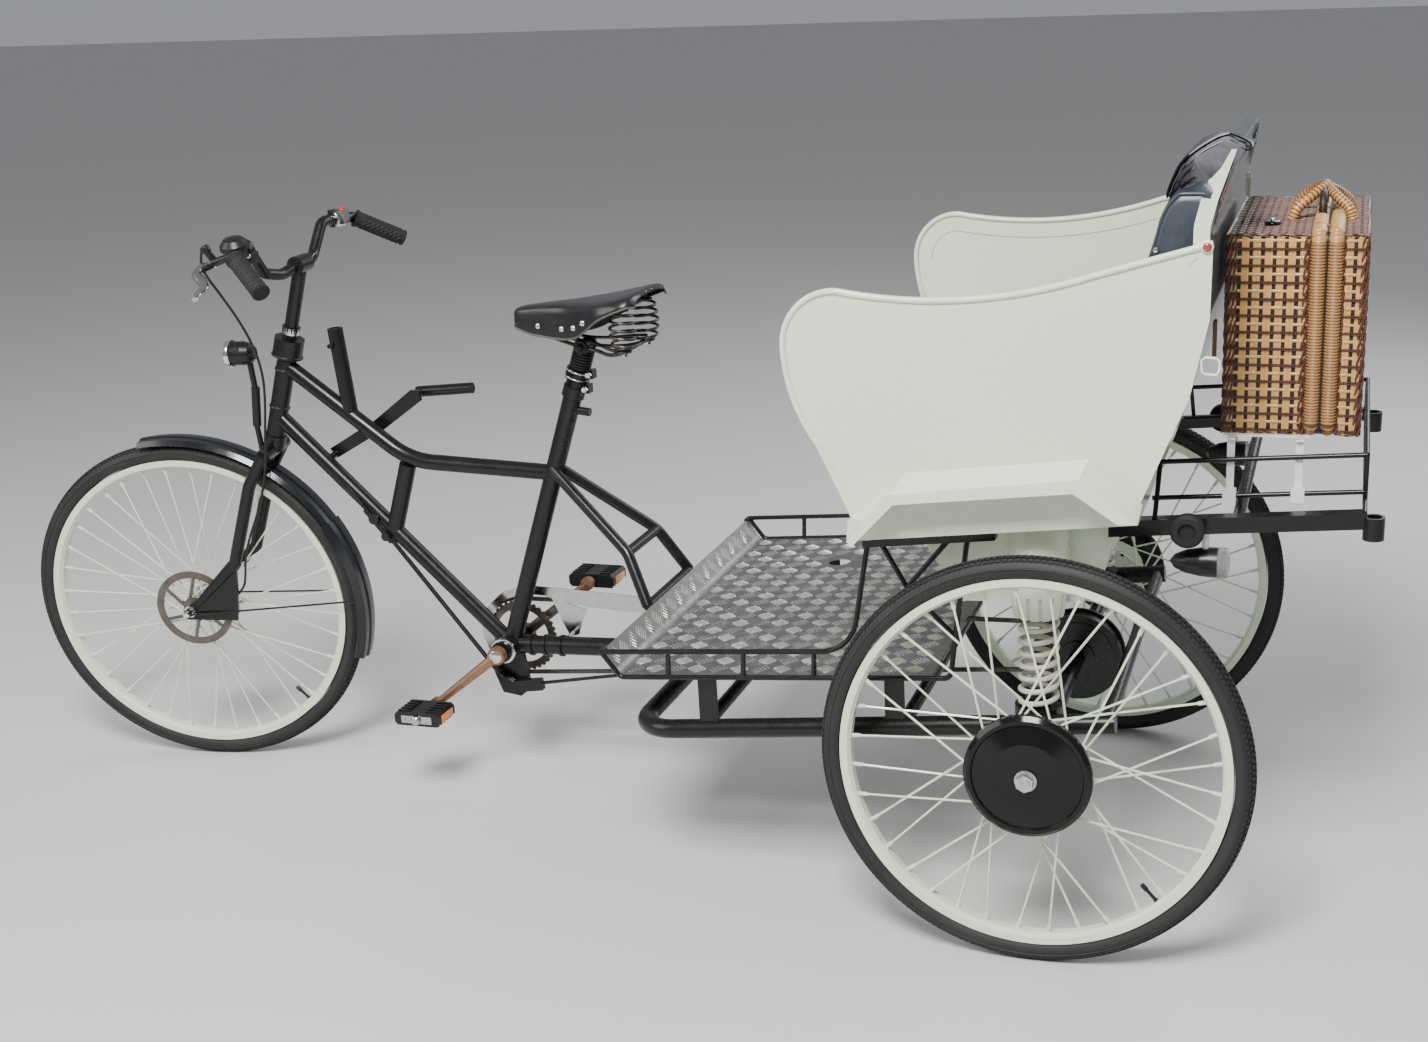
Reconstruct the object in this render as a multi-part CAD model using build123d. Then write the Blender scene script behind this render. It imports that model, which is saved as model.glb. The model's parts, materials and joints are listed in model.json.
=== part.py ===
from build123d import *
import os
from math import acos, atan2, cos, degrees, hypot, radians, sin, tan

# Driving dimensions in millimetres. X runs forward, Y to the left and Z up.
# Places are measured from the ground under the rear axle, and everything is
# moved back by MID_X at the end, so that the middle of the machine is at 0.
MID_X = 838.0
RUN_CLEAR = 0.08
SEAT_GAP = 0.3

# wheels
RIM_EDGE_D = 635.0
TYRE_RISE = 34.5
TYRE_OD = RIM_EDGE_D + 2 * TYRE_RISE
TYRE_W = 40.0
RIM_W = 32.0
RIM_DEPTH = 17.0
RIM_T = 4.0
AXLE_H = TYRE_OD / 2
TRACK = 964.0
SPOKES = 36
SPOKE_D = 4.0
FRONT_SPOKE_D = 3.4
SPOKE_CROSS = 60.0
REAR_FLANGE_D = 124.0
REAR_BARREL_D = 70.0
REAR_HUB_W = 74.0
REAR_CAP_D = 208.0
REAR_CAP_STEP = 14.0
REAR_CAP_RISE = 22.0
REAR_STUB_D = 18.0
STUB_PROUD = 16.0
FRONT_FLANGE_D = 58.0
FRONT_BARREL_D = 30.0
FRONT_HUB_W = 62.0
FRONT_AXLE_D = 10.0
ROTOR_D = 164.0
ROTOR_BAND = 15.0
ROTOR_T = 2.0
ROTOR_Y = FRONT_HUB_W / 2 + 3

# steering axis, one point on it and its lean from the upright
HEAD_LEAN = 17.5
HEAD_X = 1569.0
HEAD_Z = 922.0
STEER = 9.5
FRONT_AXLE_X = 1858.0
STEERER_D = 28.6
HEAD_TUBE_D = 37.0
HEAD_TOP = -4.0
HEAD_BOTTOM = -226.0
TOP_CUP_D = 58.0
TOP_CUP_H = 38.0
LOW_CUP_D = 44.0
LOW_CUP_H = 14.0
CROWN_S = -244.0
CROWN_D = 28.0
BLADE_D = 25.0
BLADE_END_D = 15.0
BLADE_Y = 52.0
DROPOUT_T = 6.0

# handlebar, turned a little in its stem
BAR_TURN = -5.2
STEM_S = 150.0
STEM_D = 27.0
BAR_D = 22.0
GRIP_D = 32.0
GRIP_IN = (1524.0, 236.0, 1119.5)
GRIP_END = (1448.0, 294.0, 1067.5)

# front mudguard, measured at its ridge
GUARD_R = TYRE_OD / 2 + 16
GUARD_W = 60.0
GUARD_T = 2.0
GUARD_FROM = 80.0
GUARD_TO = 199.0
FLAP_FROM = 150.0
STAY_WIRE_D = 4.0

# main frame
MAIN_TUBE_D = 32.0
SEAT_TUBE_D = 36.0
STAY_D = 22.0
BEAM_D = 37.0
BEAM_RING_D = BEAM_D + 7
BB_X = 1152.0
BB_Z = 298.0
BB_SHELL_D = 48.0
BB_SHELL_L = 70.0
BB_AXLE_D = 17.0
SEAT_TOP_X = 964.0
SEAT_TOP_Z = 837.0
BEAM_RINGS = (47, 77, 112)
SOCKET_D = 30.0
SOCKET_BORE_D = 22.0
SOCKET_TOP = (1467.0, 0.0, 940.0)
SOCKET_FOOT = (1455.0, 0.0, 768.0)

# rear chassis loop
LOOP_D = 34.0
LOOP_Y = 385.0
LOOP_X = 728.0
LOOP_Z = 310.5
LOOP_CORNER = 75.0
LOOP_PITCH = 5.4
LOOP_END_X = -120.0
CROSS_D = 24.0
CROSS_X = (600.0, 240.0)
POST_X = (584.0, 250.0)
AXLE_TUBE_D = 30.0
DRUM_D = 164.0
DRUM_Y = -14.0
DRUM_W = 44.0

# deck
DECK_X = 772.0
DECK_Z = 416.0
DECK_Y = 394.0
DECK_T = 3.0
DECK_LIP = 45.0
DECK_PITCH = 4.0
DECK_END_X = 185.0
DECK_HOLE_D = 46.0
RAIL_D = 9.0
RAIL_Y = 403.0
BEARER_D = 18.0
BEARER_DROP = DECK_T / 2 + BEARER_D / 2 + SEAT_GAP + 0.2
BEARER_BAR_Z = 702.0
BEARER_X0 = 288.0
BEARER_X1 = 70.0
BEARER_H = 20.0

# body
TUB_PITCH = 6.0
TUB_Y = 450.0
TUB_T = 3.0
RIM_ROD_D = 11.0
BOARD_T = 34.0
BOX_Y = 324.0
BOX_T = 3.0
BACK_T = 3.0
BACK_HALF = TUB_Y - TUB_T / 2 - RIM_ROD_D / 2 - SEAT_GAP
BACK_TOP_Z = 1295.0
BACK_CLIP_Y = 280.0
BACK_CLIP_Z = 1240.0
BACK_FLANGE = 22.0
CUSHION_TOP_Z = 1222.0
FENDER_Y = TUB_Y + 55
FENDER_T = 2.5

# suspension
SPRING_X = 12.0
SPRING_Y = 352.0
SPRING_OD = 70.0
SPRING_WIRE_D = 9.0
SPRING_TURNS = 7
TOWER_D = 100.0
CUP_FOOT_D = 84.0
CUP_TOP_Z = 622.0
CUP_FOOT_Z = 562.0
CUP_FLUTES = 14
SEAT_RING_D = 80.0
SEAT_RING_H = 16.0

# chain drive
CHAIN_Y = -50.0
CHAIN_W = 8.0
CHAIN_INNER_W = 5.0
CHAIN_T = 8.0
CHAIN_PITCH = 12.7
RING_TEETH = 36
RING_TIP_D = 152.0
TOOTH_H = 5.0
RING_BORE_D = 116.0
COG_D = 82.0
CRANK_L = 180.0
CRANK_ANGLE = 218.0
CRANK_Y = 68.0
PEDAL_Y = 122.0
PEDAL_W = 66.0
PEDAL_L = 98.0
PEDAL_H = 28.0
PEDAL_AXLE_D = 12.0

# angle bars, rods and hamper behind the body
BAR_X0 = -100.0
BAR_X1 = -493.0
BAR_TOP_Z = 724.0
BAR_PITCH = 4.6
BAR_Y = 352.0
BAR_W = 26.0
BAR_T = 4.0
RACK_Y = 270.0
RACK_ROD_D = 8.0
RACK_X0 = -172.0
RACK_X1 = -491.0
RACK_TOP_Z = 803.0
RACK_LOW_Z = 743.0
RACK_PITCH = 4.2
END_CUP_D = 33.0
HAMPER_X = -265.0
HAMPER_Z = 847.0
HAMPER_H = 312.0
HAMPER_BASE_D = 150.0
HAMPER_LID_D = 60.0
HAMPER_Y = 235.0
HAMPER_RIM = 8.0
HAMPER_WALL = 10.0
LID_GAP = 0.6
LEG_X = (-282.0, -388.0)

nodes = {}


def rod(a, b, d):
    """A straight round bar from point a to point b."""
    a = Vector(*a)
    run = Vector(*b) - a
    return extrude(Plane(origin=a, z_dir=run) * Circle(d / 2), amount=run.length)


def taper(a, b, d_a, d_b):
    """A round bar that changes its diameter from point a to point b."""
    a = Vector(*a)
    b = Vector(*b)
    run = b - a
    start = Plane(origin=a, z_dir=run) * Circle(d_a / 2)
    end = Plane(origin=b, z_dir=run) * Circle(d_b / 2)
    return loft([start, end], ruled=True)


def bent(points, d, bend):
    """A round bar along straight runs joined by tangent arcs."""
    path = FilletPolyline(*points, radius=bend)
    return sweep(Plane(origin=path @ 0, z_dir=path % 0) * Circle(d / 2), path=path)


def cable(points, d):
    """A cable whose arcs are as large as its runs allow."""
    spots = [Vector(*p) for p in points]
    radii = []
    for before, here, after in zip(spots, spots[1:], spots[2:]):
        turn = radians((here - before).get_angle(after - here))
        shorter = min((here - before).length, (after - here).length)
        radii.append(0.45 * shorter / tan(turn / 2))
    path = FilletPolyline(*points, radius=radii)
    return sweep(Plane(origin=path @ 0, z_dir=path % 0) * Circle(d / 2), path=path)


def ring(centre, axis, d_out, d_in, length):
    """A round sleeve centred on a point."""
    place = Plane(origin=Vector(*centre), z_dir=Vector(*axis))
    sleeve = place * Circle(d_out / 2)
    if d_in > 0:
        sleeve = sleeve - place * Circle(d_in / 2)
    return extrude(sleeve, amount=length / 2, both=True)


def side_plate(points, y0, y1):
    """A flat plate between two Y planes, its outline given as (x, z)."""
    outline = Plane(origin=(0, y0, 0), x_dir=(1, 0, 0), z_dir=(0, 1, 0))
    face = make_face(Polyline(*[(x, -z) for x, z in points], close=True))
    return extrude(outline * face, amount=y1 - y0)


def in_side_plane(shape, y):
    """Puts a flat drawing with x and z into the plane at y."""
    return Plane(origin=(0, y, 0), x_dir=(1, 0, 0), z_dir=(0, -1, 0)) * shape


def slope(x, x0, z0, pitch):
    """Height at x of a line that rises towards the rear."""
    return z0 + (x0 - x) * tan(radians(pitch))


def mirrored(shape):
    return mirror(shape, about=Plane.XZ)


def without_crumbs(shape):
    """Leaves out the slivers under 50 cubic millimetres that a cut can leave."""
    return Part() + [solid for solid in shape.solids() if solid.volume > 50]


head_dir = Vector(-sin(radians(HEAD_LEAN)), 0, cos(radians(HEAD_LEAN)))
head_axis = Axis((HEAD_X, 0, HEAD_Z), (head_dir.X, 0, head_dir.Z))


def on_head(s):
    """The point of the steering axis that is s above its named point."""
    return Vector(HEAD_X, 0, HEAD_Z) + head_dir * s


def steered(shape):
    return shape.rotate(head_axis, STEER)


def loop_z(x):
    return slope(x, 690, LOOP_Z + 3.6, LOOP_PITCH)


def deck_z(x):
    return slope(x, DECK_X - 30, DECK_Z, DECK_PITCH)


def bar_z(x):
    """Height of the seat board's underside, on the bearer bars."""
    return slope(x, BEARER_X0, BEARER_BAR_Z, TUB_PITCH)


def bar_top(x):
    return slope(x, -150, BAR_TOP_Z + 4, BAR_PITCH)


# Main frame
def seat_tube_x(z):
    """Where the seat tube's middle line is at height z."""
    return BB_X + (SEAT_TOP_X - BB_X) * (z - BB_Z) / (SEAT_TOP_Z - BB_Z)


def main_frame():
    """Head tube with its cups and the bent top tube."""
    tubes = rod(on_head(HEAD_BOTTOM), on_head(HEAD_TOP), HEAD_TUBE_D)
    tubes += rod(on_head(HEAD_BOTTOM), on_head(HEAD_BOTTOM + LOW_CUP_H), LOW_CUP_D)
    tubes += rod(on_head(HEAD_TOP - TOP_CUP_H), on_head(HEAD_TOP), TOP_CUP_D)
    cone_top = HEAD_TOP - TOP_CUP_H
    tubes += taper(on_head(cone_top - 8), on_head(cone_top), HEAD_TUBE_D + 2, TOP_CUP_D)
    tubes += bent([(1578, 0, 857), (1335, 0, 676), (seat_tube_x(663), 0, 663)], MAIN_TUBE_D, 160)
    return tubes - rod(on_head(HEAD_BOTTOM - 5), on_head(HEAD_TOP + 5), STEERER_D + 2 * RUN_CLEAR)


def down_tube():
    """Straight tube from the head to the bottom bracket, with the brace up to the top tube."""
    head = Vector(1612, 0, 752)
    foot = Vector(BB_X, 0, BB_Z)
    foot += (head - foot).normalized() * (BB_SHELL_D / 2 - 4)
    brace_foot = head + (foot - head) * 0.505
    tubes = rod(head, foot, MAIN_TUBE_D)
    tubes += rod((1341, 0, 668), (brace_foot.X, 0, brace_foot.Z), MAIN_TUBE_D + 2)
    return tubes - rod(on_head(HEAD_BOTTOM - 5), on_head(HEAD_TOP + 5), STEERER_D + 2 * RUN_CLEAR)


def seat_tube():
    """Seat tube, bottom bracket shell, beam to the rear frame and the two stays."""
    bb = (BB_X, 0, BB_Z)
    tubes = rod(bb, (SEAT_TOP_X, 0, SEAT_TOP_Z), SEAT_TUBE_D)
    collar_z = SEAT_TOP_Z - 20
    tubes += rod((seat_tube_x(collar_z), 0, collar_z), (SEAT_TOP_X, 0, SEAT_TOP_Z), SEAT_TUBE_D + 8)
    tubes += ring(bb, (0, 1, 0), BB_SHELL_D, 0, BB_SHELL_L)
    tubes += rod(bb, (LOOP_X + 2, 0, LOOP_Z + 2), BEAM_D)
    for back in BEAM_RINGS:
        tubes += ring((BB_X - back, 0, BB_Z + back * 0.03), (1, 0, -0.03), BEAM_RING_D, 0, 6)
    for side in (1, -1):
        path = [(seat_tube_x(672), side * 12, 672), (850, side * 77, 533), (802, side * 111, 440)]
        tubes += bent(path, STAY_D, 60)
    tubes += rod((850, -77, 533), (850, 77, 533), STAY_D - 2)
    tubes += rod((802, -108, 438), (802, 108, 438), STAY_D)
    tubes += rod((seat_tube_x(792) + 8, 0, 792), (seat_tube_x(786) - 44, 0, 786), 16)
    hanger = [(26, -13), (-24, -13), (-34, -93), (-12, -112), (28, -106), (44, -62)]
    tubes += side_plate([(BB_X + x, BB_Z + z) for x, z in hanger], -5, 5)
    return tubes - ring(bb, (0, 1, 0), BB_AXLE_D + 2 * RUN_CLEAR, 0, BB_SHELL_L + 4)


def post_socket():
    """Upright bored stub on the top tube, with its clamp bolt."""
    top = Vector(*SOCKET_TOP)
    run = top - Vector(*SOCKET_FOOT)
    stub = rod(SOCKET_FOOT, SOCKET_TOP, SOCKET_D)
    stub += rod((1468, 8, 908), (1468, 27, 908), 9)
    return stub - rod(top - run * 0.61, top + run * 0.1, SOCKET_BORE_D)


# Rear chassis
def rear_loop():
    """The U loop, with the coped cross tubes and the two spring seats set on it."""
    ends = [(LOOP_END_X, LOOP_Y), (LOOP_X, LOOP_Y), (LOOP_X, -LOOP_Y), (LOOP_END_X, -LOOP_Y)]
    route = [(x, y, loop_z(x)) for x, y in ends]
    cope = bent(route, LOOP_D + 2 * SEAT_GAP, LOOP_CORNER)
    pieces = [bent(route, LOOP_D, LOOP_CORNER)]
    for x in (*CROSS_X, LOOP_END_X + 15):
        pieces.append(rod((x, -LOOP_Y, loop_z(x)), (x, LOOP_Y, loop_z(x)), CROSS_D) - cope)
    for side in (1, -1):
        seat = loop_z(SPRING_X) + LOOP_D / 2 - 8
        y = side * SPRING_Y
        mount = ring((SPRING_X, y, seat + SEAT_RING_H / 2), (0, 0, 1), SEAT_RING_D, 0, SEAT_RING_H)
        mount += ring((SPRING_X, y, seat + 20), (0, 0, 1), SPRING_OD - 2 * SPRING_WIRE_D - 6, 0, 30)
        pieces.append(mount - cope)
    return largest_solids(pieces)


def largest_solids(pieces):
    """Keeps the main solid of each piece, so that a cope's end crumbs are left out."""
    return Part() + [max(piece.solids(), key=lambda solid: solid.volume) for piece in pieces]


def deck_bearers():
    """Two rods under the deck on coped posts, and a plate post on each side of the loop."""
    front_x = DECK_X + 10
    pieces = []
    for y in (-116, 116):
        ends = [(x, y, deck_z(x) - BEARER_DROP) for x in (front_x, 210)]
        cope = rod(*ends, BEARER_D + 2 * SEAT_GAP)
        pieces.append(rod(*ends, BEARER_D))
        for x in CROSS_X:
            post = rod((x, y, loop_z(x)), (x, y, deck_z(x) - BEARER_DROP), CROSS_D - 4)
            pieces.append(post - cope)
    tubes = largest_solids(pieces)
    for side in (1, -1):
        for x in POST_X:
            top = deck_z(x) - DECK_T / 2 - SEAT_GAP - 1.3
            corners = [(x - 17, loop_z(x)), (x + 17, loop_z(x)), (x + 17, top), (x - 17, top)]
            plate = side_plate(corners, LOOP_Y + 2, LOOP_Y + 6)
            tubes += plate if side > 0 else mirrored(plate)
    return tubes


def rear_axle():
    tube = ring((0, 0, AXLE_H), (0, 1, 0), AXLE_TUBE_D, 0, 2 * LOOP_Y + 30)
    for side in (1, -1):
        block = Pos(0, side * LOOP_Y, AXLE_H - 2) * Box(56, 30, 44)
        tube += fillet(block.edges().filter_by(Axis.Y), 8)
    wheel_out = TRACK + REAR_HUB_W + 2 * (REAR_CAP_RISE + 4)
    tube += ring((0, 0, AXLE_H), (0, 1, 0), REAR_STUB_D, 0, wheel_out + 2 * STUB_PROUD)
    for side in (1, -1):
        face = side * (wheel_out / 2 + SEAT_GAP)
        washer = ring((0, face + side * 1.5, AXLE_H), (0, 1, 0), 36, 0, 3)
        nut = extrude(Plane(origin=(0, face + side * 3, AXLE_H), z_dir=(0, side, 0)) * RegularPolygon(15, 6), amount=11)
        tube += washer + nut
    drum = ring((0, CHAIN_Y, AXLE_H), (0, 1, 0), COG_D, 0, CHAIN_INNER_W - 1)
    for d, width in ((DRUM_D, DRUM_W), (DRUM_D - 26, DRUM_W + 10), (66, DRUM_W + 26)):
        drum += ring((0, DRUM_Y + (DRUM_W - width) / 4, AXLE_H), (0, 1, 0), d, 0, width)
    drum += ring((0, DRUM_Y - 6, AXLE_H), (0, 1, 0), DRUM_D + 10, 0, 5)
    return tube + (drum - ring((0, 0, AXLE_H), (0, 1, 0), AXLE_TUBE_D + 2 * SEAT_GAP, 0, 4 * DRUM_D))


# Wheels, each about its own centre with its outside towards +Y
def tyre():
    """A round-shouldered section turned about the Y axis."""
    r_out = TYRE_OD / 2
    r_in = RIM_EDGE_D / 2
    half = TYRE_W / 2
    section = Polyline((r_in - 3, -RIM_W / 2 + 5), (r_in + 3, -RIM_W / 2), (r_in + 15, -half),
                       (r_out - 9, -half + 4), (r_out, -half + 13), (r_out, half - 13),
                       (r_out - 9, half - 4), (r_in + 15, half), (r_in + 3, RIM_W / 2),
                       (r_in - 3, RIM_W / 2 - 5), close=True)
    return revolve(make_face(section), Axis.Y)


def wheel_rim():
    """A box rim with flared sides and a sunk bed between them."""
    r_edge = RIM_EDGE_D / 2
    r_floor = r_edge - RIM_DEPTH
    half = RIM_W / 2
    section = Polyline((r_edge, -half), (r_floor + 5, -half + 1), (r_floor, -half + 8),
                       (r_floor, half - 8), (r_floor + 5, half - 1), (r_edge, half),
                       (r_edge, half - RIM_T), (r_floor + 8, 0),
                       (r_edge, -half + RIM_T), close=True)
    return revolve(make_face(section), Axis.Y)


def spokes(flange_d, hub_w, d):
    """Crossed spokes, laced from both hub flanges to the middle of the rim."""
    r_hub = flange_d / 2 - 3
    r_rim = RIM_EDGE_D / 2 - RIM_DEPTH + 2
    bars = []
    for i in range(SPOKES):
        side = 1 if i % 2 == 0 else -1
        lean = 1 if i % 4 < 2 else -1
        a_rim = radians(360 / SPOKES * (i + 0.5))
        a_hub = a_rim + lean * radians(SPOKE_CROSS)
        y_hub = side * (hub_w / 2 - 3 - 1.5 * lean)
        hub = Vector(r_hub * cos(a_hub), y_hub, r_hub * sin(a_hub))
        rim = Vector(r_rim * cos(a_rim), side * 2, r_rim * sin(a_rim))
        run = rim - hub
        section = Plane(origin=hub, z_dir=run) * RegularPolygon(d / 2, 5)
        bars.append(extrude(section, amount=run.length))
    return bars


def rear_wheel():
    hub = ring((0, 0, 0), (0, 1, 0), REAR_BARREL_D, 0, REAR_HUB_W)
    for side in (1, -1):
        hub += ring((0, side * (REAR_HUB_W / 2 - 3), 0), (0, 1, 0), REAR_FLANGE_D, 0, 6)
    y_in = REAR_HUB_W / 2 - 2
    r_cap = REAR_CAP_D / 2
    y_rim = y_in + REAR_CAP_STEP
    y_top = REAR_HUB_W / 2 + 4 + REAR_CAP_RISE
    profile = Polyline((0, y_in), (r_cap - 6, y_in), (r_cap, y_in + 6), (r_cap, y_rim), (r_cap - 7, y_rim + 6),
                       (r_cap - 13, y_rim + 6), (r_cap - 15, y_rim + 3), (r_cap - 45, y_top - 4),
                       (r_cap - 80, y_top), (0, y_top), close=True)
    cap = revolve(make_face(profile), Axis.Y)
    body = wheel_rim().fuse(hub, cap, *spokes(REAR_FLANGE_D, REAR_HUB_W, SPOKE_D))
    return body - ring((0, 0, 0), (0, 1, 0), REAR_STUB_D + 2 * RUN_CLEAR, 0, 4 * REAR_HUB_W)


def front_wheel():
    hub = ring((0, 0, 0), (0, 1, 0), FRONT_BARREL_D, 0, FRONT_HUB_W)
    for side in (1, -1):
        hub += ring((0, side * (FRONT_HUB_W / 2 - 2.5), 0), (0, 1, 0), FRONT_FLANGE_D, 0, 5)
    rotor = ring((0, ROTOR_Y, 0), (0, 1, 0), ROTOR_D, ROTOR_D - 2 * ROTOR_BAND, ROTOR_T)
    for i in range(6):
        a = radians(60 * i + 12)
        b = a + radians(26)
        r_a = FRONT_FLANGE_D / 2 - 8
        r_b = ROTOR_D / 2 - ROTOR_BAND + 2
        root = Vector(r_a * cos(a), ROTOR_Y, r_a * sin(a))
        tip = Vector(r_b * cos(b), ROTOR_Y, r_b * sin(b))
        run = tip - root
        place = Plane(origin=root, x_dir=(0, 1, 0), z_dir=run)
        rotor += extrude(place * Rectangle(ROTOR_T, 7), amount=run.length)
    rotor += ring((0, ROTOR_Y - 1, 0), (0, 1, 0), FRONT_FLANGE_D - 10, 0, 2 * ROTOR_T)
    body = wheel_rim().fuse(hub, rotor, *spokes(FRONT_FLANGE_D, FRONT_HUB_W, FRONT_SPOKE_D))
    return body - ring((0, 0, 0), (0, 1, 0), FRONT_AXLE_D + 2 * RUN_CLEAR, 0, 2 * FRONT_HUB_W)


def place_rear(shape, side):
    if side < 0:
        shape = mirrored(shape)
    return Pos(0, side * TRACK / 2, AXLE_H) * shape


def place_front(shape):
    return steered(Pos(FRONT_AXLE_X, 0, AXLE_H) * shape)


# Steering assembly, drawn straight ahead
def fork():
    crown = on_head(CROWN_S)
    body = rod(crown, on_head(6), STEERER_D)
    body += rod(crown, on_head(HEAD_BOTTOM - SEAT_GAP), LOW_CUP_D - 2)
    body += rod(crown + Vector(0, -BLADE_Y, 0), crown + Vector(0, BLADE_Y, 0), CROWN_D)
    shoulder = (1682, 628)
    bend = (1742, 460)
    tip = (FRONT_AXLE_X - 20, AXLE_H + 18)
    for side in (1, -1):
        y = side * BLADE_Y
        body += bent([crown + Vector(0, y, 0), (shoulder[0], y, shoulder[1]), (bend[0], y, bend[1])], BLADE_D, 90)
        body += Pos(bend[0], y, bend[1]) * Sphere(BLADE_D / 2)
        body += taper((bend[0], y, bend[1]), (tip[0], y, tip[1]), BLADE_D, BLADE_END_D)
        end = [(tip[0] - 14, tip[1] + 8), (tip[0] + 6, tip[1] + 6), (FRONT_AXLE_X + 14, AXLE_H + 4),
               (FRONT_AXLE_X + 12, AXLE_H - 13), (FRONT_AXLE_X - 12, AXLE_H - 13), (tip[0] - 20, tip[1] - 14)]
        body += side_plate(end, y - DROPOUT_T / 2, y + DROPOUT_T / 2)
    gusset = [(bend[0] - 2, bend[1]), (1777, 420), (FRONT_AXLE_X + 18, AXLE_H - 5), (FRONT_AXLE_X + 10, AXLE_H - 18),
              (FRONT_AXLE_X - 100, AXLE_H - 20), (FRONT_AXLE_X - 112, AXLE_H + 48)]
    body += side_plate(gusset, BLADE_Y - DROPOUT_T / 2, BLADE_Y + DROPOUT_T / 2)
    body += ring((FRONT_AXLE_X, 0, AXLE_H), (0, 1, 0), FRONT_AXLE_D, 0, 2 * BLADE_Y + 40)
    for side in (1, -1):
        nut_y = side * (BLADE_Y + DROPOUT_T / 2)
        place = Plane(origin=(FRONT_AXLE_X, nut_y, AXLE_H), z_dir=(0, side, 0))
        body += extrude(place * RegularPolygon(10, 6), amount=12)
    return body


def bar_place(shape):
    """The bar stands slightly turned back in the stem."""
    return shape.rotate(head_axis, BAR_TURN)


def bar_route(side):
    """Centre line of one half of the bar, from the clamp to the grip's end."""
    clamp = on_head(STEM_S)
    return [(clamp.X, 0, clamp.Z), (clamp.X + 16, side * 52, clamp.Z - 12), (1549, side * 98, 1064),
            (1546, side * 148, 1124), (GRIP_IN[0], side * GRIP_IN[1], GRIP_IN[2]),
            (GRIP_END[0], side * GRIP_END[1], GRIP_END[2])]


def bar_half(side, d):
    path = FilletPolyline(*bar_route(side), radius=[40, 30, 24, 12])
    return sweep(Plane(origin=path @ 0, z_dir=path % 0) * Circle(d / 2), path=path)


def handlebar():
    foot = 6 + SEAT_GAP
    bars = rod(on_head(foot), on_head(STEM_S + 4), STEM_D)
    bars += rod(on_head(foot), on_head(foot + 14), STEM_D + 8)
    bars += ring(on_head(STEM_S), (0, 1, 0), STEM_D + 8, 0, 44)
    return bars + bar_half(1, BAR_D) + bar_half(-1, BAR_D)


def grips():
    """Grips with a flange at the inner end and a closed outer end."""
    out = Part()
    for side in (1, -1):
        a = Vector(GRIP_IN[0], side * GRIP_IN[1], GRIP_IN[2])
        b = Vector(GRIP_END[0], side * GRIP_END[1], GRIP_END[2])
        run = (b - a).normalized()
        grip = rod(a + run * 6, b + run * 5, GRIP_D)
        grip += rod(a + run * 6, a + run * 10, GRIP_D + 5)
        out += grip - rod(a - run * 5, b + run * SEAT_GAP, BAR_D + 2 * SEAT_GAP)
    return out


def headlamp():
    """Round lamp on an upright post that stands on the fork crown."""
    x = 1648.0
    z = 888.5
    profile = Polyline((0, 0), (12, 0), (20, 8), (24, 22), (24, 44), (26, 46), (26, 54), (22, 54), (0, 50), close=True)
    shell = revolve(make_face(profile), Axis.Y)
    body = Pos(x, 0, z) * shell.rotate(Axis.Z, -90)
    body += rod((x + 14, 0, z - 16), (x + 12, 0, 816), 12)
    body += rod((x + 11, 0, 818), (x + 21, 0, 738), 17)
    body += rod((x + 22, 0, 746), (x + 19, 0, 688), 11)
    body += rod((x + 19, 0, 692), (x + 2, 0, 692), 11)
    return body


def guard_section(r, width, depth):
    """Cross-section of the mudguard: a raised ridge between two rolled edges."""
    half = width / 2
    outer = [(r - depth, -half), (r - 4, -half + 7), (r - 3, -10), (r, -5), (r, 5), (r - 3, 10), (r - 4, half - 7),
             (r - depth, half)]
    inner = [(x - GUARD_T, y * 0.93) for x, y in reversed(outer)]
    return make_face(Polyline(*outer, *inner, close=True))


def front_mudguard():
    arc = revolve(guard_section(GUARD_R, GUARD_W, 13), Axis.Y, GUARD_TO - GUARD_FROM)
    guard = arc.rotate(Axis.Y, -GUARD_TO)
    flap = revolve(guard_section(GUARD_R + 3, GUARD_W + 5, 20), Axis.Y, GUARD_TO - FLAP_FROM)
    guard += flap.rotate(Axis.Y, -GUARD_TO)
    guard = Pos(FRONT_AXLE_X, 0, AXLE_H) * guard
    axle = Vector(FRONT_AXLE_X, 0, AXLE_H)
    reach = on_head(CROWN_S) - axle
    out = reach.normalized()
    guard += rod(axle + out * (GUARD_R - 2), axle + out * (reach.length - CROWN_D / 2 - SEAT_GAP), 16)
    for side in (1, -1):
        eye = (FRONT_AXLE_X - 6, side * (BLADE_Y + DROPOUT_T / 2 + SEAT_GAP + 8), AXLE_H - 4)
        heel = (FRONT_AXLE_X - GUARD_R + 16, side * (GUARD_W / 2 + 1), AXLE_H + 14)
        guard += rod(eye, heel, STAY_WIRE_D)
    return guard


def brake_caliper():
    """Block over the rotor's rear edge, seated on the inside of the fork's plate."""
    x = FRONT_AXLE_X - ROTOR_D / 2 + 6
    z = AXLE_H + 8
    outer = BLADE_Y - DROPOUT_T / 2 - SEAT_GAP
    body = Pos(x, (outer + ROTOR_Y - 6) / 2, z) * Box(42, outer - ROTOR_Y + 6, 46)
    body = fillet(body.edges().filter_by(Axis.Y), 7)
    slot = ring((FRONT_AXLE_X, ROTOR_Y, AXLE_H), (0, 1, 0), ROTOR_D + 6, 0, ROTOR_T + 1.6)
    return body - slot - ring((FRONT_AXLE_X, ROTOR_Y, AXLE_H), (0, 1, 0), 116, 0, 30)


CABLE_ROUTE = [(1624, 190, 1133), (1637, 179, 1112), (1641, 165, 1084), (1622, 149, 1036), (1604, 131, 983),
               (1593, 113, 928), (1592, 97, 870), (1603, 84, 812), (1617, 76, 753), (1627, 73, 692),
               (1642, 72, 632), (1664, 71, 577), (1692, 69, 523), (1712, 65, 476), (1722, 56, 434),
               (1736, 46, 399), (1767, 40, 374)]


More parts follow.
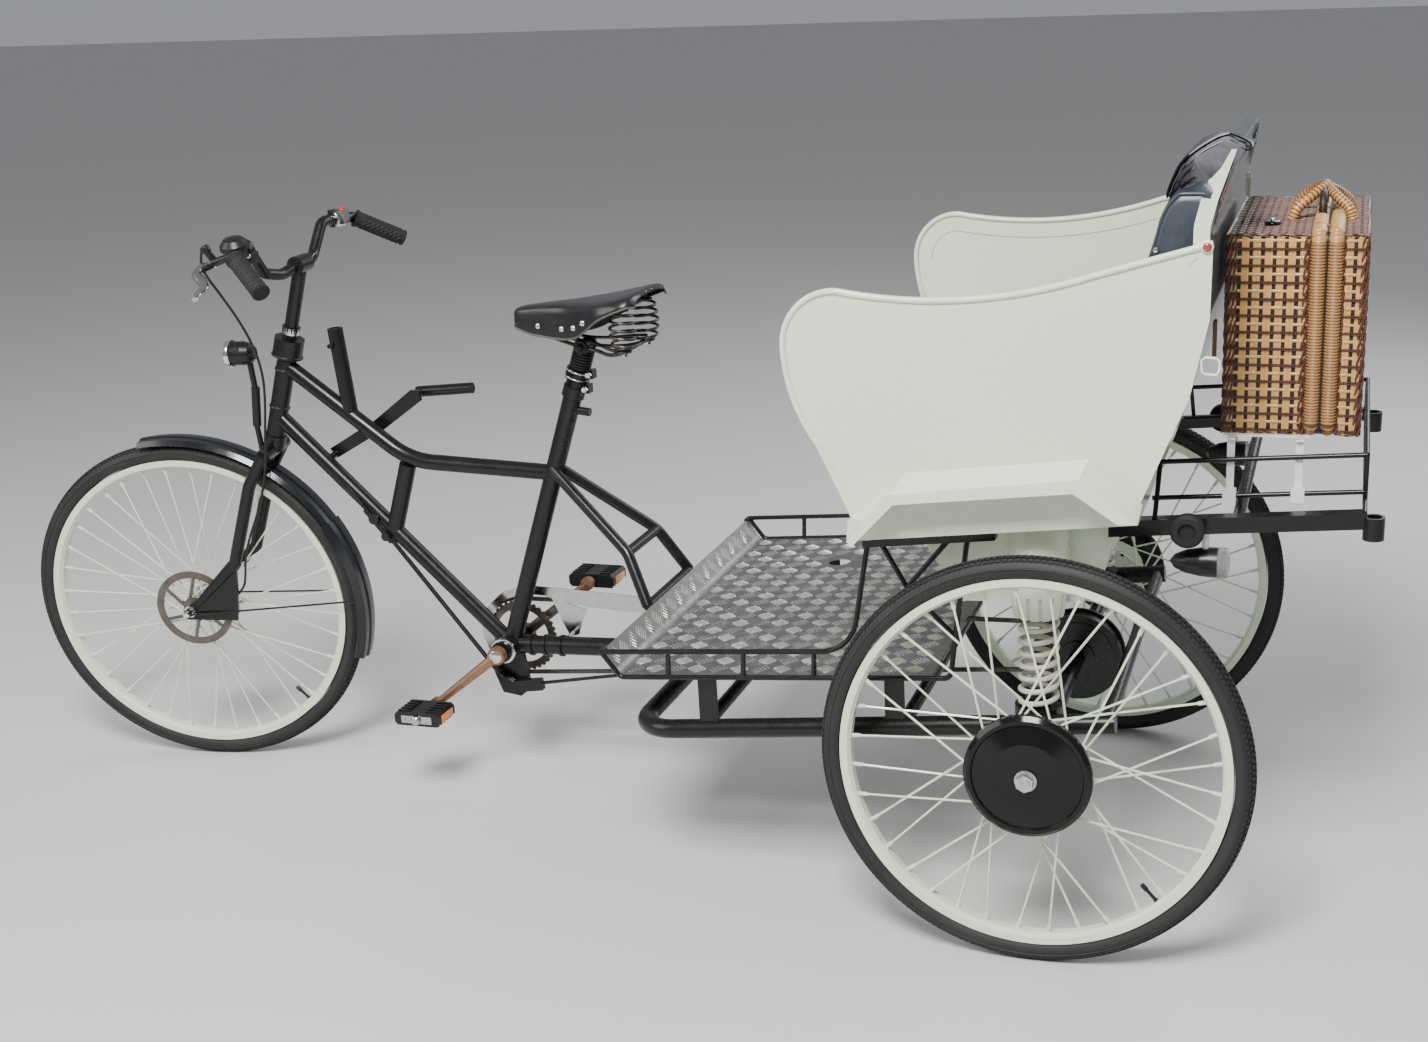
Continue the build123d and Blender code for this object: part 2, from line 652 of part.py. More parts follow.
def brake_cable():
    return cable(CABLE_ROUTE, 5)


# the brake lever's bends from its pivot to its tip, and the end of the cable stub
LEVER_ROUTE = [(1588, 194, 1100), (1605, 230, 1090), (1573, 260, 1072), (1575, 300, 1056)]
STUB_END = (1606, 200, 1133)


def controls(side):
    """Clamp and bell with the hooked brake lever on the left, and a switch on the right."""
    route = [Vector(*p) for p in bar_route(side)]
    along = (route[3] - route[4]).normalized()
    inner = route[4] + along * 14
    if side > 0:
        perch = inner + along * 14
        body = rod(inner, inner + along * 28, 31)
        body += rod(perch, (1594, 196, 1101), 15)
        body += rod((1586, 194, 1104), STUB_END, 12)
        dome = revolve(make_face(Polyline((0, 0), (27, 0), (26, 9), (18, 18), (0, 22), close=True)), Axis.Y)
        body += Pos(perch.X + 6, perch.Y - 4, perch.Z + 10) * dome.rotate(Axis.X, 75)
        return body + bent(LEVER_ROUTE, 10, 11)
    middle = inner + along * 33
    body = rod(middle - along * 14, middle + along * 14, 31)
    body += Pos(middle.X - 6, middle.Y, middle.Z + 6) * Box(34, 26, 28)
    return body + rod(middle + Vector(-16, 2, 14), middle + Vector(-16, 2, 25), 13)


# Saddle and its post
def seat_post():
    down_tube = Vector(SEAT_TOP_X - BB_X, 0, SEAT_TOP_Z - BB_Z).normalized()
    top = Vector(SEAT_TOP_X, 0, SEAT_TOP_Z)
    body = rod(top + down_tube * SEAT_GAP, top + down_tube * 14, 42)
    for i in range(5):
        low = 14 + 8 * i
        body += taper(top + down_tube * low, top + down_tube * (low + 4), 30, 40 - i)
        body += taper(top + down_tube * (low + 4), top + down_tube * (low + 8), 40 - i, 30)
    body += rod(top + down_tube * 50, top + down_tube * 76, 23)
    head = top + down_tube * 76
    body += fillet((Pos(head.X - 2, 0, head.Z - 4) * Box(60, 40, 15)).edges().filter_by(Axis.Y), 5)
    body += rod((head.X, -26, head.Z + 2), (head.X, 26, head.Z + 2), 18)
    return body


# columns: x, height of the top, half width, drop of the skirt
SADDLE_SECTIONS = [(800, 1024, 84, 10), (822, 1021, 99, 14), (870, 1011, 92, 26), (925, 1003, 62, 54),
                   (985, 996, 38, 56), (1036, 990, 27, 44), (1068, 984, 20, 24)]
SADDLE_T = 5.0


def saddle():
    """Leather top on a ruled loft, deepest at its side skirts."""
    faces = []
    for x, z, half, drop in SADDLE_SECTIONS:
        place = Plane(origin=(x, 0, z), x_dir=(0, 1, 0), z_dir=(1, 0, 0))
        thick = SADDLE_T
        outline = Polyline((-half, -drop - 7), (-half, -7), (-half * 0.6, 0), (half * 0.6, 0), (half, -7),
                           (half, -drop - 7), (half - thick, -drop - 7), (half - thick, -9),
                           (half * 0.6 - 2, -thick), (-half * 0.6 + 2, -thick), (-half + thick, -9),
                           (-half + thick, -drop - 7), close=True)
        faces.append(place * make_face(outline))
    return loft(faces, ruled=True)


SADDLE_REAR_Z = 1015.5
COIL_X = 834.0
COIL_Y = 58.0
COIL_D = 40.0
COIL_WIRE_D = 5.0
COIL_LOW = 918.0
COIL_RINGS = 5
COIL_STEP = 15.0


def saddle_springs():
    """Rails, cross rods, nose piece and two stacks of spring rings."""
    body = Part()
    top = COIL_LOW + COIL_RINGS * COIL_STEP
    for side in (1, -1):
        y = side * COIL_Y
        body += ring((COIL_X, y, (COIL_LOW + top) / 2), (0, 0, 1), 10, 0, top - COIL_LOW)
        for i in range(COIL_RINGS):
            z = COIL_LOW + (i + 0.5) * COIL_STEP
            body += ring((COIL_X, y, z), (0.25, 0, 1), COIL_D, 0, COIL_WIRE_D)
        body += ring((COIL_X, y, top + 2), (0, 0, 1), COIL_D - 4, 0, 4)
        body += rod((COIL_X, y, top), (COIL_X, y, SADDLE_REAR_Z), 12)
        rail = [(COIL_X, y, COIL_LOW - 2), (872, side * 44, 908), (905, side * 20, 910), (985, side * 16, 930),
                (1046, side * 12, 950)]
        body += bent(rail, 7, 12)
    body += rod((COIL_X, -COIL_Y - 14, COIL_LOW - 2), (COIL_X, COIL_Y + 14, COIL_LOW - 2), 8)
    body += rod((COIL_X, -COIL_Y - 20, top + 2), (COIL_X, COIL_Y + 20, top + 2), 9)
    body += Pos(1046, 0, 953) * Box(14, 32, 14)
    return body


# Deck
def deck():
    end_x = DECK_END_X
    knee_x = DECK_X - 26
    path = FilletPolyline((DECK_X, 0, DECK_Z + DECK_LIP), (knee_x, 0, deck_z(knee_x)), (end_x, 0, deck_z(end_x)),
                          radius=22)
    place = Plane(origin=path @ 0, x_dir=(0, 1, 0), z_dir=path % 0)
    plate = sweep(place * Rectangle(2 * DECK_Y, DECK_T), path=path)
    return plate - Pos(520, -228, deck_z(520)) * Cylinder(DECK_HOLE_D / 2, 30)


def deck_rails(side):
    """Upper and lower side rails with posts, up to the bearer bar under the body."""
    y = side * RAIL_Y
    z_top = DECK_Z + DECK_LIP
    rise_x = 318
    bend_z = bar_z(BEARER_X0) - BEARER_H + 4
    front = (DECK_X, y, z_top)
    top_end = slope(rise_x, DECK_X, z_top, DECK_PITCH)
    rails = bent([front, (rise_x, y, top_end), (BEARER_X0 - 4, y, bend_z)], RAIL_D, 70)
    tail = (150, y, deck_z(150))
    low = (DECK_X - 34, y, deck_z(DECK_X - 34))
    rails += bent([front, low, tail, (118, y, bar_z(118) - BEARER_H + 4)], RAIL_D, 14)
    for x in (649, 512, 386):
        rails += rod((x, y, deck_z(x)), (x - 2, y, slope(x, DECK_X, z_top, DECK_PITCH)), RAIL_D)
    vee = (220, y, 612)
    for start in ((262, y, bend_z), (148, y, bend_z + 12)):
        rails += rod(start, vee, RAIL_D)
    rails += rod(vee, (140, y, 530), RAIL_D)
    bar = [(BEARER_X0, bar_z(BEARER_X0)), (BEARER_X1, bar_z(BEARER_X1)), (BEARER_X1, bar_z(BEARER_X1) - BEARER_H),
           (BEARER_X0, bar_z(BEARER_X0) - BEARER_H)]
    plate = side_plate(bar, RAIL_Y - 4, RAIL_Y + 18)
    rails += plate if side > 0 else mirrored(plate)
    return rails + rod(front, (DECK_X, side * (DECK_Y - 10), z_top), RAIL_D)


# Body
def tub_outline():
    """The side panel's outline: straight edges and arcs, front foot first."""
    lines = [Line((290, 737), (346, 858)), ThreePointArc((346, 858), (384, 932), (398, 1012)),
             ThreePointArc((398, 1012), (384, 1064), (310, 1103)), ThreePointArc((310, 1103), (90, 1094), (-90, 1131)),
             Line((-90, 1131), (-259, 1178))]
    rear = Polyline((-259, 1178), (-257, 1068), (-230, 949), (-163, 790), (-150, 770), (290, 737))
    return lines, rear


TUB_HOLE = [(-247, 1142), (-224, 1146), (-238, 1160)]


def tub_side(side):
    """Sheet side panel with a rolled edge over its nose and top."""
    lines, rear = tub_outline()
    face = make_face([e for line in [*lines, rear] for e in line.edges()])
    plate = extrude(in_side_plane(face, TUB_Y), amount=TUB_T)
    edge = in_side_plane(Wire([e for line in lines for e in line.edges()]), TUB_Y - TUB_T / 2)
    rolled = sweep(Plane(origin=edge @ 0, z_dir=edge % 0) * Circle(RIM_ROD_D / 2), path=edge)
    hole = in_side_plane(make_face(Polyline(*TUB_HOLE, close=True)), TUB_Y + 6)
    panel = plate + rolled - extrude(hole, amount=12)
    return panel if side > 0 else mirrored(panel)


# columns: x and z at the panel, at the outer fold and at the lip's lower edge
FENDER_STATIONS = [((304, 735), (290, 718), (282, 711)), ((205, 820), (220, 798), (214, 782)),
                   ((-82, 852), (-74, 834), (-66, 812)), ((-164, 784), (-164, 768), (-134, 766))]


def fender_face(panel, fold, lip):
    """The folded sheet's section through three points, as thick as the sheet."""
    at_panel = Vector(panel[0], TUB_Y + SEAT_GAP, panel[1])
    at_fold = Vector(fold[0], FENDER_Y, fold[1])
    at_lip = Vector(lip[0], FENDER_Y, lip[1])
    inward = (at_panel - at_fold).normalized() * FENDER_T
    down = (at_lip - at_fold).normalized() * FENDER_T
    points = [at_panel, at_fold, at_lip, at_lip + inward, at_fold + inward + down, at_panel + down]
    return make_face(Polyline(*points, close=True))


def fender(side):
    """The angular eyebrow outside the panel, above the wheel."""
    faces = [fender_face(*station) for station in FENDER_STATIONS]
    shape = loft([faces[0], faces[1]], ruled=True)
    for a, b in zip(faces[1:], faces[2:]):
        shape += loft([a, b], ruled=True)
    return shape if side > 0 else mirrored(shape)


def seat_box():
    """Board under the seat with the skirt walls below it, open below."""
    half = TUB_Y - TUB_T - SEAT_GAP
    x0 = BEARER_X0
    x1 = -158
    low0 = bar_z(x0) + SEAT_GAP
    low1 = bar_z(x1) + SEAT_GAP
    board = side_plate([(x0, low0), (x1, low1), (x1, low1 + BOARD_T), (x0, low0 + BOARD_T)], -half, half)
    skirt = [(214, bar_z(214) + 2), (206, 662), (148, 566), (-55, 575), (-93, 635), (-118, bar_z(-118) + 2)]
    core = [(208, bar_z(208)), (201, 664), (144, 560), (-53, 560), (-89, 637), (-113, bar_z(-113))]
    walls = side_plate(skirt, -BOX_Y, BOX_Y) - side_plate(core, -BOX_Y + BOX_T, BOX_Y - BOX_T)
    for side in (1, -1):
        block = Pos(-112, side * (BAR_Y - BAR_W / 2), bar_z(-112) - 10) * Box(30, BAR_W + 30, 17)
        walls += block
    return board + walls


def seat_cushion():
    pad = Box(400, 2 * (TUB_Y - TUB_T - SEAT_GAP - 0.2), 70)
    pad = fillet(pad.edges().filter_by(Axis.Y), 22)
    drop = bar_z(72) + BOARD_T + SEAT_GAP
    return Pos(72 + 2, 0, drop + 35.6) * Rot(0, TUB_PITCH, 0) * pad


# columns: x, share of the height from the foot to the top
BACK_FOOT_Z = 792.0
BACK_SHARES = [(-156, 0.0), (-226, 0.312), (-252, 0.549), (-252, 0.811), (-276, 1.0)]
BACK_PATH = [(x, BACK_FOOT_Z + share * (BACK_TOP_Z - BACK_FOOT_Z)) for x, share in BACK_SHARES]
BACK_BEND = 40.0
BACK_FLANGE_Z = 1085.0


def back_outline(inset):
    """Outline of the back seen from behind, as (y, z), its upper corners cut off."""
    half = BACK_HALF - inset
    clip = BACK_CLIP_Y - 0.4 * inset
    top = BACK_TOP_Z - inset
    low = BACK_FOOT_Z - 60
    corner = BACK_CLIP_Z - 0.8 * inset
    points = [(-half, low), (-half, corner), (-clip, top), (clip, top), (half, corner), (half, low)]
    plane = Plane(origin=(-420, 0, 0), x_dir=(0, 1, 0), z_dir=(1, 0, 0))
    return extrude(plane * make_face(Polyline(*points, close=True)), amount=400)


def tub_back():
    """Curved back sheet with its upper corners cut off and a flange round its upper edges."""
    path = FilletPolyline(*[(x, 0, z) for x, z in BACK_PATH], radius=BACK_BEND)
    place = Plane(origin=path @ 0, x_dir=(0, 1, 0), z_dir=path % 0)
    panel = sweep(place * Rectangle(2 * BACK_HALF, BACK_T), path=path)
    deep = sweep(place * Pos(0, -BACK_FLANGE / 2) * Rectangle(2 * BACK_HALF, BACK_FLANGE), path=path)
    below = Pos(-300, 0, BACK_FLANGE_Z - 500) * Box(600, 1200, 1000)
    return (panel + (deep - back_outline(BACK_T) - below)) & back_outline(0)


def back_cushion():
    half = BACK_HALF
    outline = make_face(Polyline((-half, 880), (-half, 1190), (-BACK_CLIP_Y, CUSHION_TOP_Z),
                                 (BACK_CLIP_Y, CUSHION_TOP_Z), (half, 1190), (half, 880), close=True))
    pad = extrude(Plane(origin=(-400, 0, 0), x_dir=(0, 1, 0), z_dir=(1, 0, 0)) * outline, amount=500)
    profile = [(-170, 884), (-212, 960), (-240, 1068), (-242, 1196), (-246, CUSHION_TOP_Z), (-196, CUSHION_TOP_Z),
               (-166, 1160), (-140, 1080), (-128, 960), (-118, 884)]
    return side_plate(profile, -TUB_Y, TUB_Y) & pad


def back_cover():
    """The folded cover bunched over the top of the back, towards the left."""
    z_low = CUSHION_TOP_Z + SEAT_GAP
    profile = [(-292, BACK_TOP_Z + 5), (-250, 1322), (-214, 1312), (-190, z_low), (-244, z_low), (-272, BACK_TOP_Z + 2)]
    return side_plate(profile, -110, BACK_CLIP_Y - 10)


# Suspension
def spring_tower(side):
    """Upright sleeve with a fluted cup below, which holds the spring's top."""
    y = side * SPRING_Y
    top = bar_z(SPRING_X) - SEAT_GAP
    body = ring((SPRING_X, y, (CUP_TOP_Z + top) / 2), (0, 0, 1), TOWER_D, 0, top - CUP_TOP_Z)
    body += Pos(SPRING_X, y, top - 2.5) * Box(146, 84, 4)
    cup_h = CUP_TOP_Z - CUP_FOOT_Z
    cup = Pos(SPRING_X, y, (CUP_TOP_Z + CUP_FOOT_Z) / 2) * Cone(CUP_FOOT_D / 2, TOWER_D / 2, cup_h)
    for i in range(CUP_FLUTES):
        a = radians(360 / CUP_FLUTES * i)
        low = (SPRING_X + CUP_FOOT_D / 2 * cos(a), y + CUP_FOOT_D / 2 * sin(a), CUP_FOOT_Z + 4)
        high = (SPRING_X + TOWER_D / 2 * cos(a), y + TOWER_D / 2 * sin(a), CUP_TOP_Z - 4)
        run = Vector(*high) - Vector(*low)
        cup -= extrude(Plane(origin=Vector(*low) - run * 0.3, z_dir=run) * RegularPolygon(4.5, 4), amount=run.length)
    return body + cup


def spring(side):
    """Round wire on a helix between the spring seat and the fluted cup."""
    seat = loop_z(SPRING_X) + LOOP_D / 2 - 8 + SEAT_RING_H
    free = CUP_FOOT_Z - seat - 2 * SEAT_GAP
    wire = SPRING_WIRE_D
    rise = free - wire
    radius = (SPRING_OD - wire) / 2
    path = Helix(pitch=rise / SPRING_TURNS, height=rise, radius=radius)
    coil = sweep(Plane(origin=path @ 0, z_dir=path % 0) * RegularPolygon(wire / 2, 6), path=path, is_frenet=True)
    return Pos(SPRING_X, side * SPRING_Y, seat + SEAT_GAP + wire / 2) * coil


# Drive
def chain_loop(r_big, r_small):
    """The belt outline round two circles, the axle's cog at the far one."""
    d = hypot(BB_X, BB_Z - AXLE_H)
    return make_hull([*Circle(r_big).edges(), *(Pos(d, 0) * Circle(r_small)).edges()])


def chain_run(t, r_big, r_small):
    """Point and direction at distance t along the chain's middle line, in its own plane."""
    d = hypot(BB_X, BB_Z - AXLE_H)
    lean = acos((r_big - r_small) / d)
    straight = d * sin(lean)
    big = r_big * 2 * (radians(180) - lean)
    small = r_small * 2 * lean
    total = 2 * straight + big + small
    t = t % total
    if t < straight:
        a = lean
        x = r_big * cos(a) + t * sin(lean)
        y = r_big * sin(a) - t * cos(lean)
        return x, y, a - radians(90)
    t -= straight
    if t < small:
        a = lean - t / r_small
        return d + r_small * cos(a), r_small * sin(a), a - radians(90)
    t -= small
    if t < straight:
        a = -lean
        x = d + r_small * cos(a) - t * sin(lean)
        y = r_small * sin(a) - t * cos(lean)
        return x, y, a - radians(90)
    t -= straight
    a = -lean - t / r_big
    return r_big * cos(a), r_big * sin(a), a - radians(90)


def chain_length(r_big, r_small):
    d = hypot(BB_X, BB_Z - AXLE_H)
    lean = acos((r_big - r_small) / d)
    return 2 * d * sin(lean) + 2 * r_big * (radians(180) - lean) + 2 * r_small * lean


def chain():
    """One closed loop: a narrow inner band and wider outer plates at every second pitch."""
    gap = 0.6
    r0 = RING_TIP_D / 2 + gap
    r1 = COG_D / 2 + gap
    band = chain_loop(r0 + CHAIN_T, r1 + CHAIN_T) - chain_loop(r0, r1)
    tilt = atan2(AXLE_H - BB_Z, BB_X)
    place = Plane(origin=(BB_X, CHAIN_Y, BB_Z), x_dir=(-cos(tilt), 0, sin(tilt)), z_dir=(0, 1, 0))
    body = extrude(place * band, amount=CHAIN_INNER_W / 2, both=True)
    mid = CHAIN_T / 2
    links = round(chain_length(r0 + mid, r1 + mid) / (2 * CHAIN_PITCH))
    step = chain_length(r0 + mid, r1 + mid) / links
    plates = []
    for i in range(links):
        x, y, a = chain_run(i * step, r0 + mid, r1 + mid)
        plate = Pos(x, y) * Rot(0, 0, degrees(a)) * Rectangle(CHAIN_PITCH + 1, CHAIN_T - 1.2)
        plates.append(extrude(place * plate, amount=CHAIN_W / 2, both=True))
    return body.fuse(*plates)


def chainring():
    """Toothed ring with five arms and a centre boss."""
    points = []
    for i in range(RING_TEETH):
        for share, r in ((0.0, RING_TIP_D / 2 - TOOTH_H), (0.35, RING_TIP_D / 2), (0.65, RING_TIP_D / 2)):
            a = radians(360 / RING_TEETH * (i + share))
            points.append((r * cos(a), r * sin(a)))
    outline = make_face(Polyline(*points, close=True)) - Circle(RING_BORE_D / 2)
    outline += Circle(24)
    for i in range(5):
        outline += Rot(0, 0, 72 * i) * Pos(RING_BORE_D / 4 + 4, 0) * Rectangle(RING_BORE_D / 2 - 6, 13)
    place = Plane(origin=(BB_X, CHAIN_Y, BB_Z), x_dir=(1, 0, 0), z_dir=(0, 1, 0))
    return extrude(place * outline, amount=(CHAIN_INNER_W - 2) / 2, both=True)


def crankset():
    body = ring((BB_X, 0, BB_Z), (0, 1, 0), BB_AXLE_D, 0, 2 * CRANK_Y)
    body += chainring()
    body += ring((BB_X, (CHAIN_Y - CRANK_Y) / 2, BB_Z), (0, 1, 0), 30, 0, CRANK_Y + CHAIN_Y)
    a = radians(CRANK_ANGLE)
    for side in (1, -1):
        ux = cos(a) * -side
        uz = sin(a) * side
        root = (BB_X, side * CRANK_Y, BB_Z)
        tip = (BB_X + CRANK_L * ux, side * (CRANK_Y + 10), BB_Z + CRANK_L * uz)
        body += taper(root, tip, 22, 16)
        body += ring(root, (0, 1, 0), 36, 0, 16)
        body += ring(tip, (0, 1, 0), 27, 0, 14)
        inner = side * (CRANK_Y + 10)
        outer = side * (PEDAL_Y + PEDAL_W / 2)
        body += ring((tip[0], (inner + outer) / 2, tip[2]), (0, 1, 0), PEDAL_AXLE_D, 0, abs(outer - inner))
    return body


def pedal_centre(side):
    a = radians(CRANK_ANGLE)
    return Vector(BB_X - side * CRANK_L * cos(a), side * (PEDAL_Y + 6), BB_Z + side * CRANK_L * sin(a))


def pedal(side):
    """Block pedal: two treads, end plates and a bored middle."""
    c = pedal_centre(side)
    body = Pos(c.X, c.Y, c.Z) * Box(PEDAL_L, PEDAL_W, PEDAL_H)
    body = chamfer(body.edges().filter_by(Axis.Y), 6)
    for dx in (-24, 24):
        body -= Pos(c.X + dx, c.Y, c.Z) * Box(16, PEDAL_W - 14, PEDAL_H + 4)
    return body - ring(c, (0, 1, 0), PEDAL_AXLE_D + 2 * RUN_CLEAR, 0, 2 * PEDAL_W)


def chain_guard():
    """Bright crescent and band over the chain's top run, with a bracket to the frame."""
    outline = [(1221, 264), (1236, 290), (1238, 322), (1219, 361), (1184, 393), (1136, 411), (1059, 409), (877, 401),
               (877, 366), (1000, 372), (1060, 382), (1090, 391), (1136, 393), (1172, 380), (1204, 352), (1219, 318),
               (1212, 286)]
    y = CHAIN_Y + CHAIN_W / 2 + 4
    body = side_plate(outline, y, y + 2)
    lobe = [(1075, 388), (1000, 366), (1012, 340), (1021, 312), (1040, 306), (1052, 330)]
    body += side_plate(lobe, y, y + 2)
    return body + rod((1030, y + 1, 318), (1030, -6, 318), 8)


def handbrake():
    """Flat lever on the right of the frame with its side grip."""
    y = -30
    lever = [(1530, 686), (1514, 668), (1405, 728), (1312, 792), (1316, 812), (1334, 812), (1418, 750)]
    body = side_plate(lever, y - 3, y + 3)
    body += rod((1326, y - 3, 802), (1326, y - 34, 802), 12)
    body += rod((1338, y - 34, 801), (1216, y - 34, 812), 22)
    body += rod((1518, y, 676), (1518, 0, 672), 14)
    return body


def brake_rods():
    """Two rods down the frame to the link block, and two more towards the rear."""
    body = Pos(1118, 14, 216) * Rot(0, 8, 0) * Box(66, 14, 24)
    for y in (11, 19):
        body += rod((1472, y, 622), (1186, y, 246), 4.5)
        body += rod((1186, y, 246), (1148, y, 222), 7)
        body += rod((1092, y, 222), (640, y, 300), 4.5)
    body += rod((1420, 5, 556), (1420, 24, 556), 22)
    body += rod((1398, 5, 520), (1398, 24, 520), 18)
    body += side_plate([(1440, 590), (1386, 520), (1376, 506), (1400, 500), (1452, 566)], 0, 6)
    return body


# Bars, rods and hamper behind the body
def rack_z(x, z0):
    return slope(x, RACK_X0, z0, RACK_PITCH)


def rack():
    """Angle bars on both sides, the rods above them and a cross tube."""
    body = Part()
    for side in (1, -1):
        line = [(BAR_X0, bar_top(BAR_X0)), (BAR_X1, bar_top(BAR_X1))]
        foot = [(x, z - BAR_W) for x, z in reversed(line)]
        thin = [(x, z - BAR_T) for x, z in reversed(line)]
        bar = side_plate(line + foot, BAR_Y - BAR_T, BAR_Y) + side_plate(line + thin, BAR_Y - BAR_W, BAR_Y)
        body += bar if side > 0 else mirrored(bar)
        y = side * RACK_Y
        for z0, x0 in ((RACK_TOP_Z, RACK_X0), (RACK_LOW_Z, RACK_X0 + 12)):
            body += rod((x0, y, rack_z(x0, z0)), (RACK_X1, y, rack_z(RACK_X1, z0)), RACK_ROD_D)
        knee = rack_z(RACK_X1, RACK_TOP_Z)
        foot_z = bar_top(RACK_X1) - 2
        body += rod((RACK_X1, y, knee), (RACK_X1, y, foot_z), RACK_ROD_D)
        body += rod((RACK_X1, y, foot_z), (RACK_X1, side * (BAR_Y - 6), foot_z), RACK_ROD_D)
        tail_x = BAR_X1 - END_CUP_D / 2 + 4
        cup = ring((tail_x, side * (BAR_Y - 8), bar_top(BAR_X1) - 25), (0, 0, 1), END_CUP_D, 0, 36)
        cup -= ring((tail_x, side * (BAR_Y - 8), bar_top(BAR_X1) - 12), (0, 0, 1), END_CUP_D - 10, 0, 24)
        body += cup
    cross = bar_top(-300) - BAR_W / 2
    body += rod((-300, -BAR_Y + 2, cross), (-300, BAR_Y - 2, cross), 20)
    low = rack_z(-300, RACK_LOW_Z)
    front_z = rack_z(RACK_X0, RACK_TOP_Z)
    for side in (1, -1):
        body += rod((-300, side * RACK_Y, low), (-300, side * RACK_Y, cross), RACK_ROD_D)
        corner = (RACK_X0, side * (BAR_Y - 6), bar_top(RACK_X0) - 2)
        body += rod((RACK_X0, side * RACK_Y, front_z), corner, RACK_ROD_D)
    for z0 in (RACK_TOP_Z, RACK_LOW_Z):
        z = rack_z(RACK_X1, z0)
        body += rod((RACK_X1, -RACK_Y, z), (RACK_X1, RACK_Y, z), RACK_ROD_D)
    return body


def hamper_stand():
    """Folded shelf with four legs that clip on the lower rods."""
    top = HAMPER_Z - SEAT_GAP
    body = Pos((LEG_X[0] + LEG_X[1]) / 2, 0, top - 1.5) * Box(134, 2 * HAMPER_Y + 24, 3)
    body -= Pos((LEG_X[0] + LEG_X[1]) / 2, 0, top - 1.5) * Box(96, 2 * HAMPER_Y - 60, 8)
    for side in (1, -1):
        for x in LEG_X:
            z = rack_z(x, RACK_LOW_Z)
            y = side * (RACK_Y - RACK_ROD_D / 2 - 2 - SEAT_GAP)
            body += Pos(x, y, (top + z) / 2) * Box(12, 4, top - z)
            body += Pos(x, (y + side * (HAMPER_Y + 6)) / 2, top - 1.5) * Box(12, abs(y) - HAMPER_Y + 10, 3)
            clip = Pos(x, side * RACK_Y, z) * Box(21, RACK_ROD_D + 8, 24)
            along = (1, 0, -tan(radians(RACK_PITCH)))
            body += clip - ring((x, side * RACK_Y, z), along, RACK_ROD_D + 2 * SEAT_GAP, 0, 60)
    return body


def hamper_tray(x_front, depth, opens_back):
    """An open woven tray standing on its edge, with a rim at its mouth."""
    mid_z = HAMPER_Z + HAMPER_H / 2
    wall = HAMPER_WALL
    outer = Pos(x_front - depth / 2, 0, mid_z) * Box(depth, 2 * HAMPER_Y, HAMPER_H)
    shift = -wall if opens_back else wall
    hollow = Box(depth, 2 * (HAMPER_Y - wall), HAMPER_H - 2 * wall)
    tray = fillet(outer.edges().filter_by(Axis.X), 14) - Pos(x_front - depth / 2 + shift, 0, mid_z) * hollow
    rim_x = x_front - depth + 10 if opens_back else x_front - 10
    band = Pos(rim_x, 0, mid_z + HAMPER_RIM / 2) * Box(20, 2 * (HAMPER_Y + HAMPER_RIM), HAMPER_H + HAMPER_RIM)
    band = fillet(band.edges().filter_by(Axis.X), 16)
    return tray + (band - Pos(rim_x, 0, mid_z) * Box(30, 2 * (HAMPER_Y - wall), HAMPER_H - 2 * wall))


# columns: y where each knuckle starts and ends, on the left side
BASE_KNUCKLES = [(142, 160), (180, 198)]
LID_KNUCKLE = (160.5, 179.5)
KNUCKLE_D = 12.0
PIN_D = 5.0
HINGE_X = HAMPER_X - HAMPER_BASE_D - LID_GAP / 2


def knuckle(side, ends, d):
    middle = side * (ends[0] + ends[1]) / 2
    return ring((HINGE_X, middle, HAMPER_Z), (0, 1, 0), d, 0, ends[1] - ends[0])


def hamper_base():
    """The deep half, with the carrying handle on top and the hinge pins below its mouth."""
    z = HAMPER_Z + HAMPER_H + HAMPER_RIM
    x = HAMPER_X - HAMPER_BASE_D + 12
    body = hamper_tray(HAMPER_X, HAMPER_BASE_D, True)
    body += bent([(x, -70, z - 4), (x, -70, z + 34), (x, 70, z + 34), (x, 70, z - 4)], 13, 24)
    for side in (1, -1):
        body -= knuckle(side, (LID_KNUCKLE[0] - 0.5, LID_KNUCKLE[1] + 0.5), KNUCKLE_D + 1.2)
        for ends in BASE_KNUCKLES:
            body += knuckle(side, ends, KNUCKLE_D)
        body += knuckle(side, (BASE_KNUCKLES[0][1] - 2, BASE_KNUCKLES[1][0] + 2), PIN_D)
    return body


def hamper_lid():
    """The shallow half, whose knuckles turn on the pins."""
    body = hamper_tray(HAMPER_X - HAMPER_BASE_D - LID_GAP, HAMPER_LID_D, False)
    for side in (1, -1):
        for ends in BASE_KNUCKLES:
            body -= knuckle(side, (ends[0] - 0.5, ends[1] + 0.5), KNUCKLE_D + 1.2)
        body += knuckle(side, LID_KNUCKLE, KNUCKLE_D)
        body -= knuckle(side, (BASE_KNUCKLES[0][1], BASE_KNUCKLES[1][0]), PIN_D + 2 * RUN_CLEAR)
    return body


def rear_lamp(side):
    """Bullet lamp pointing back, hung under its angle bar."""
    y = side * (BAR_Y - 14)
    profile = Polyline((0, 0), (11, 8), (19, 26), (23, 48), (24, 62), (24, 76), (20, 78), (0, 78), close=True)
    body = revolve(make_face(profile), Axis.Y).rotate(Axis.Z, 90)
    lamp = Pos(-196, y, 660) * body
    top = bar_top(-252) - BAR_T - SEAT_GAP
    return lamp + rod((-252, y, 670), (-252, y, top), 11)


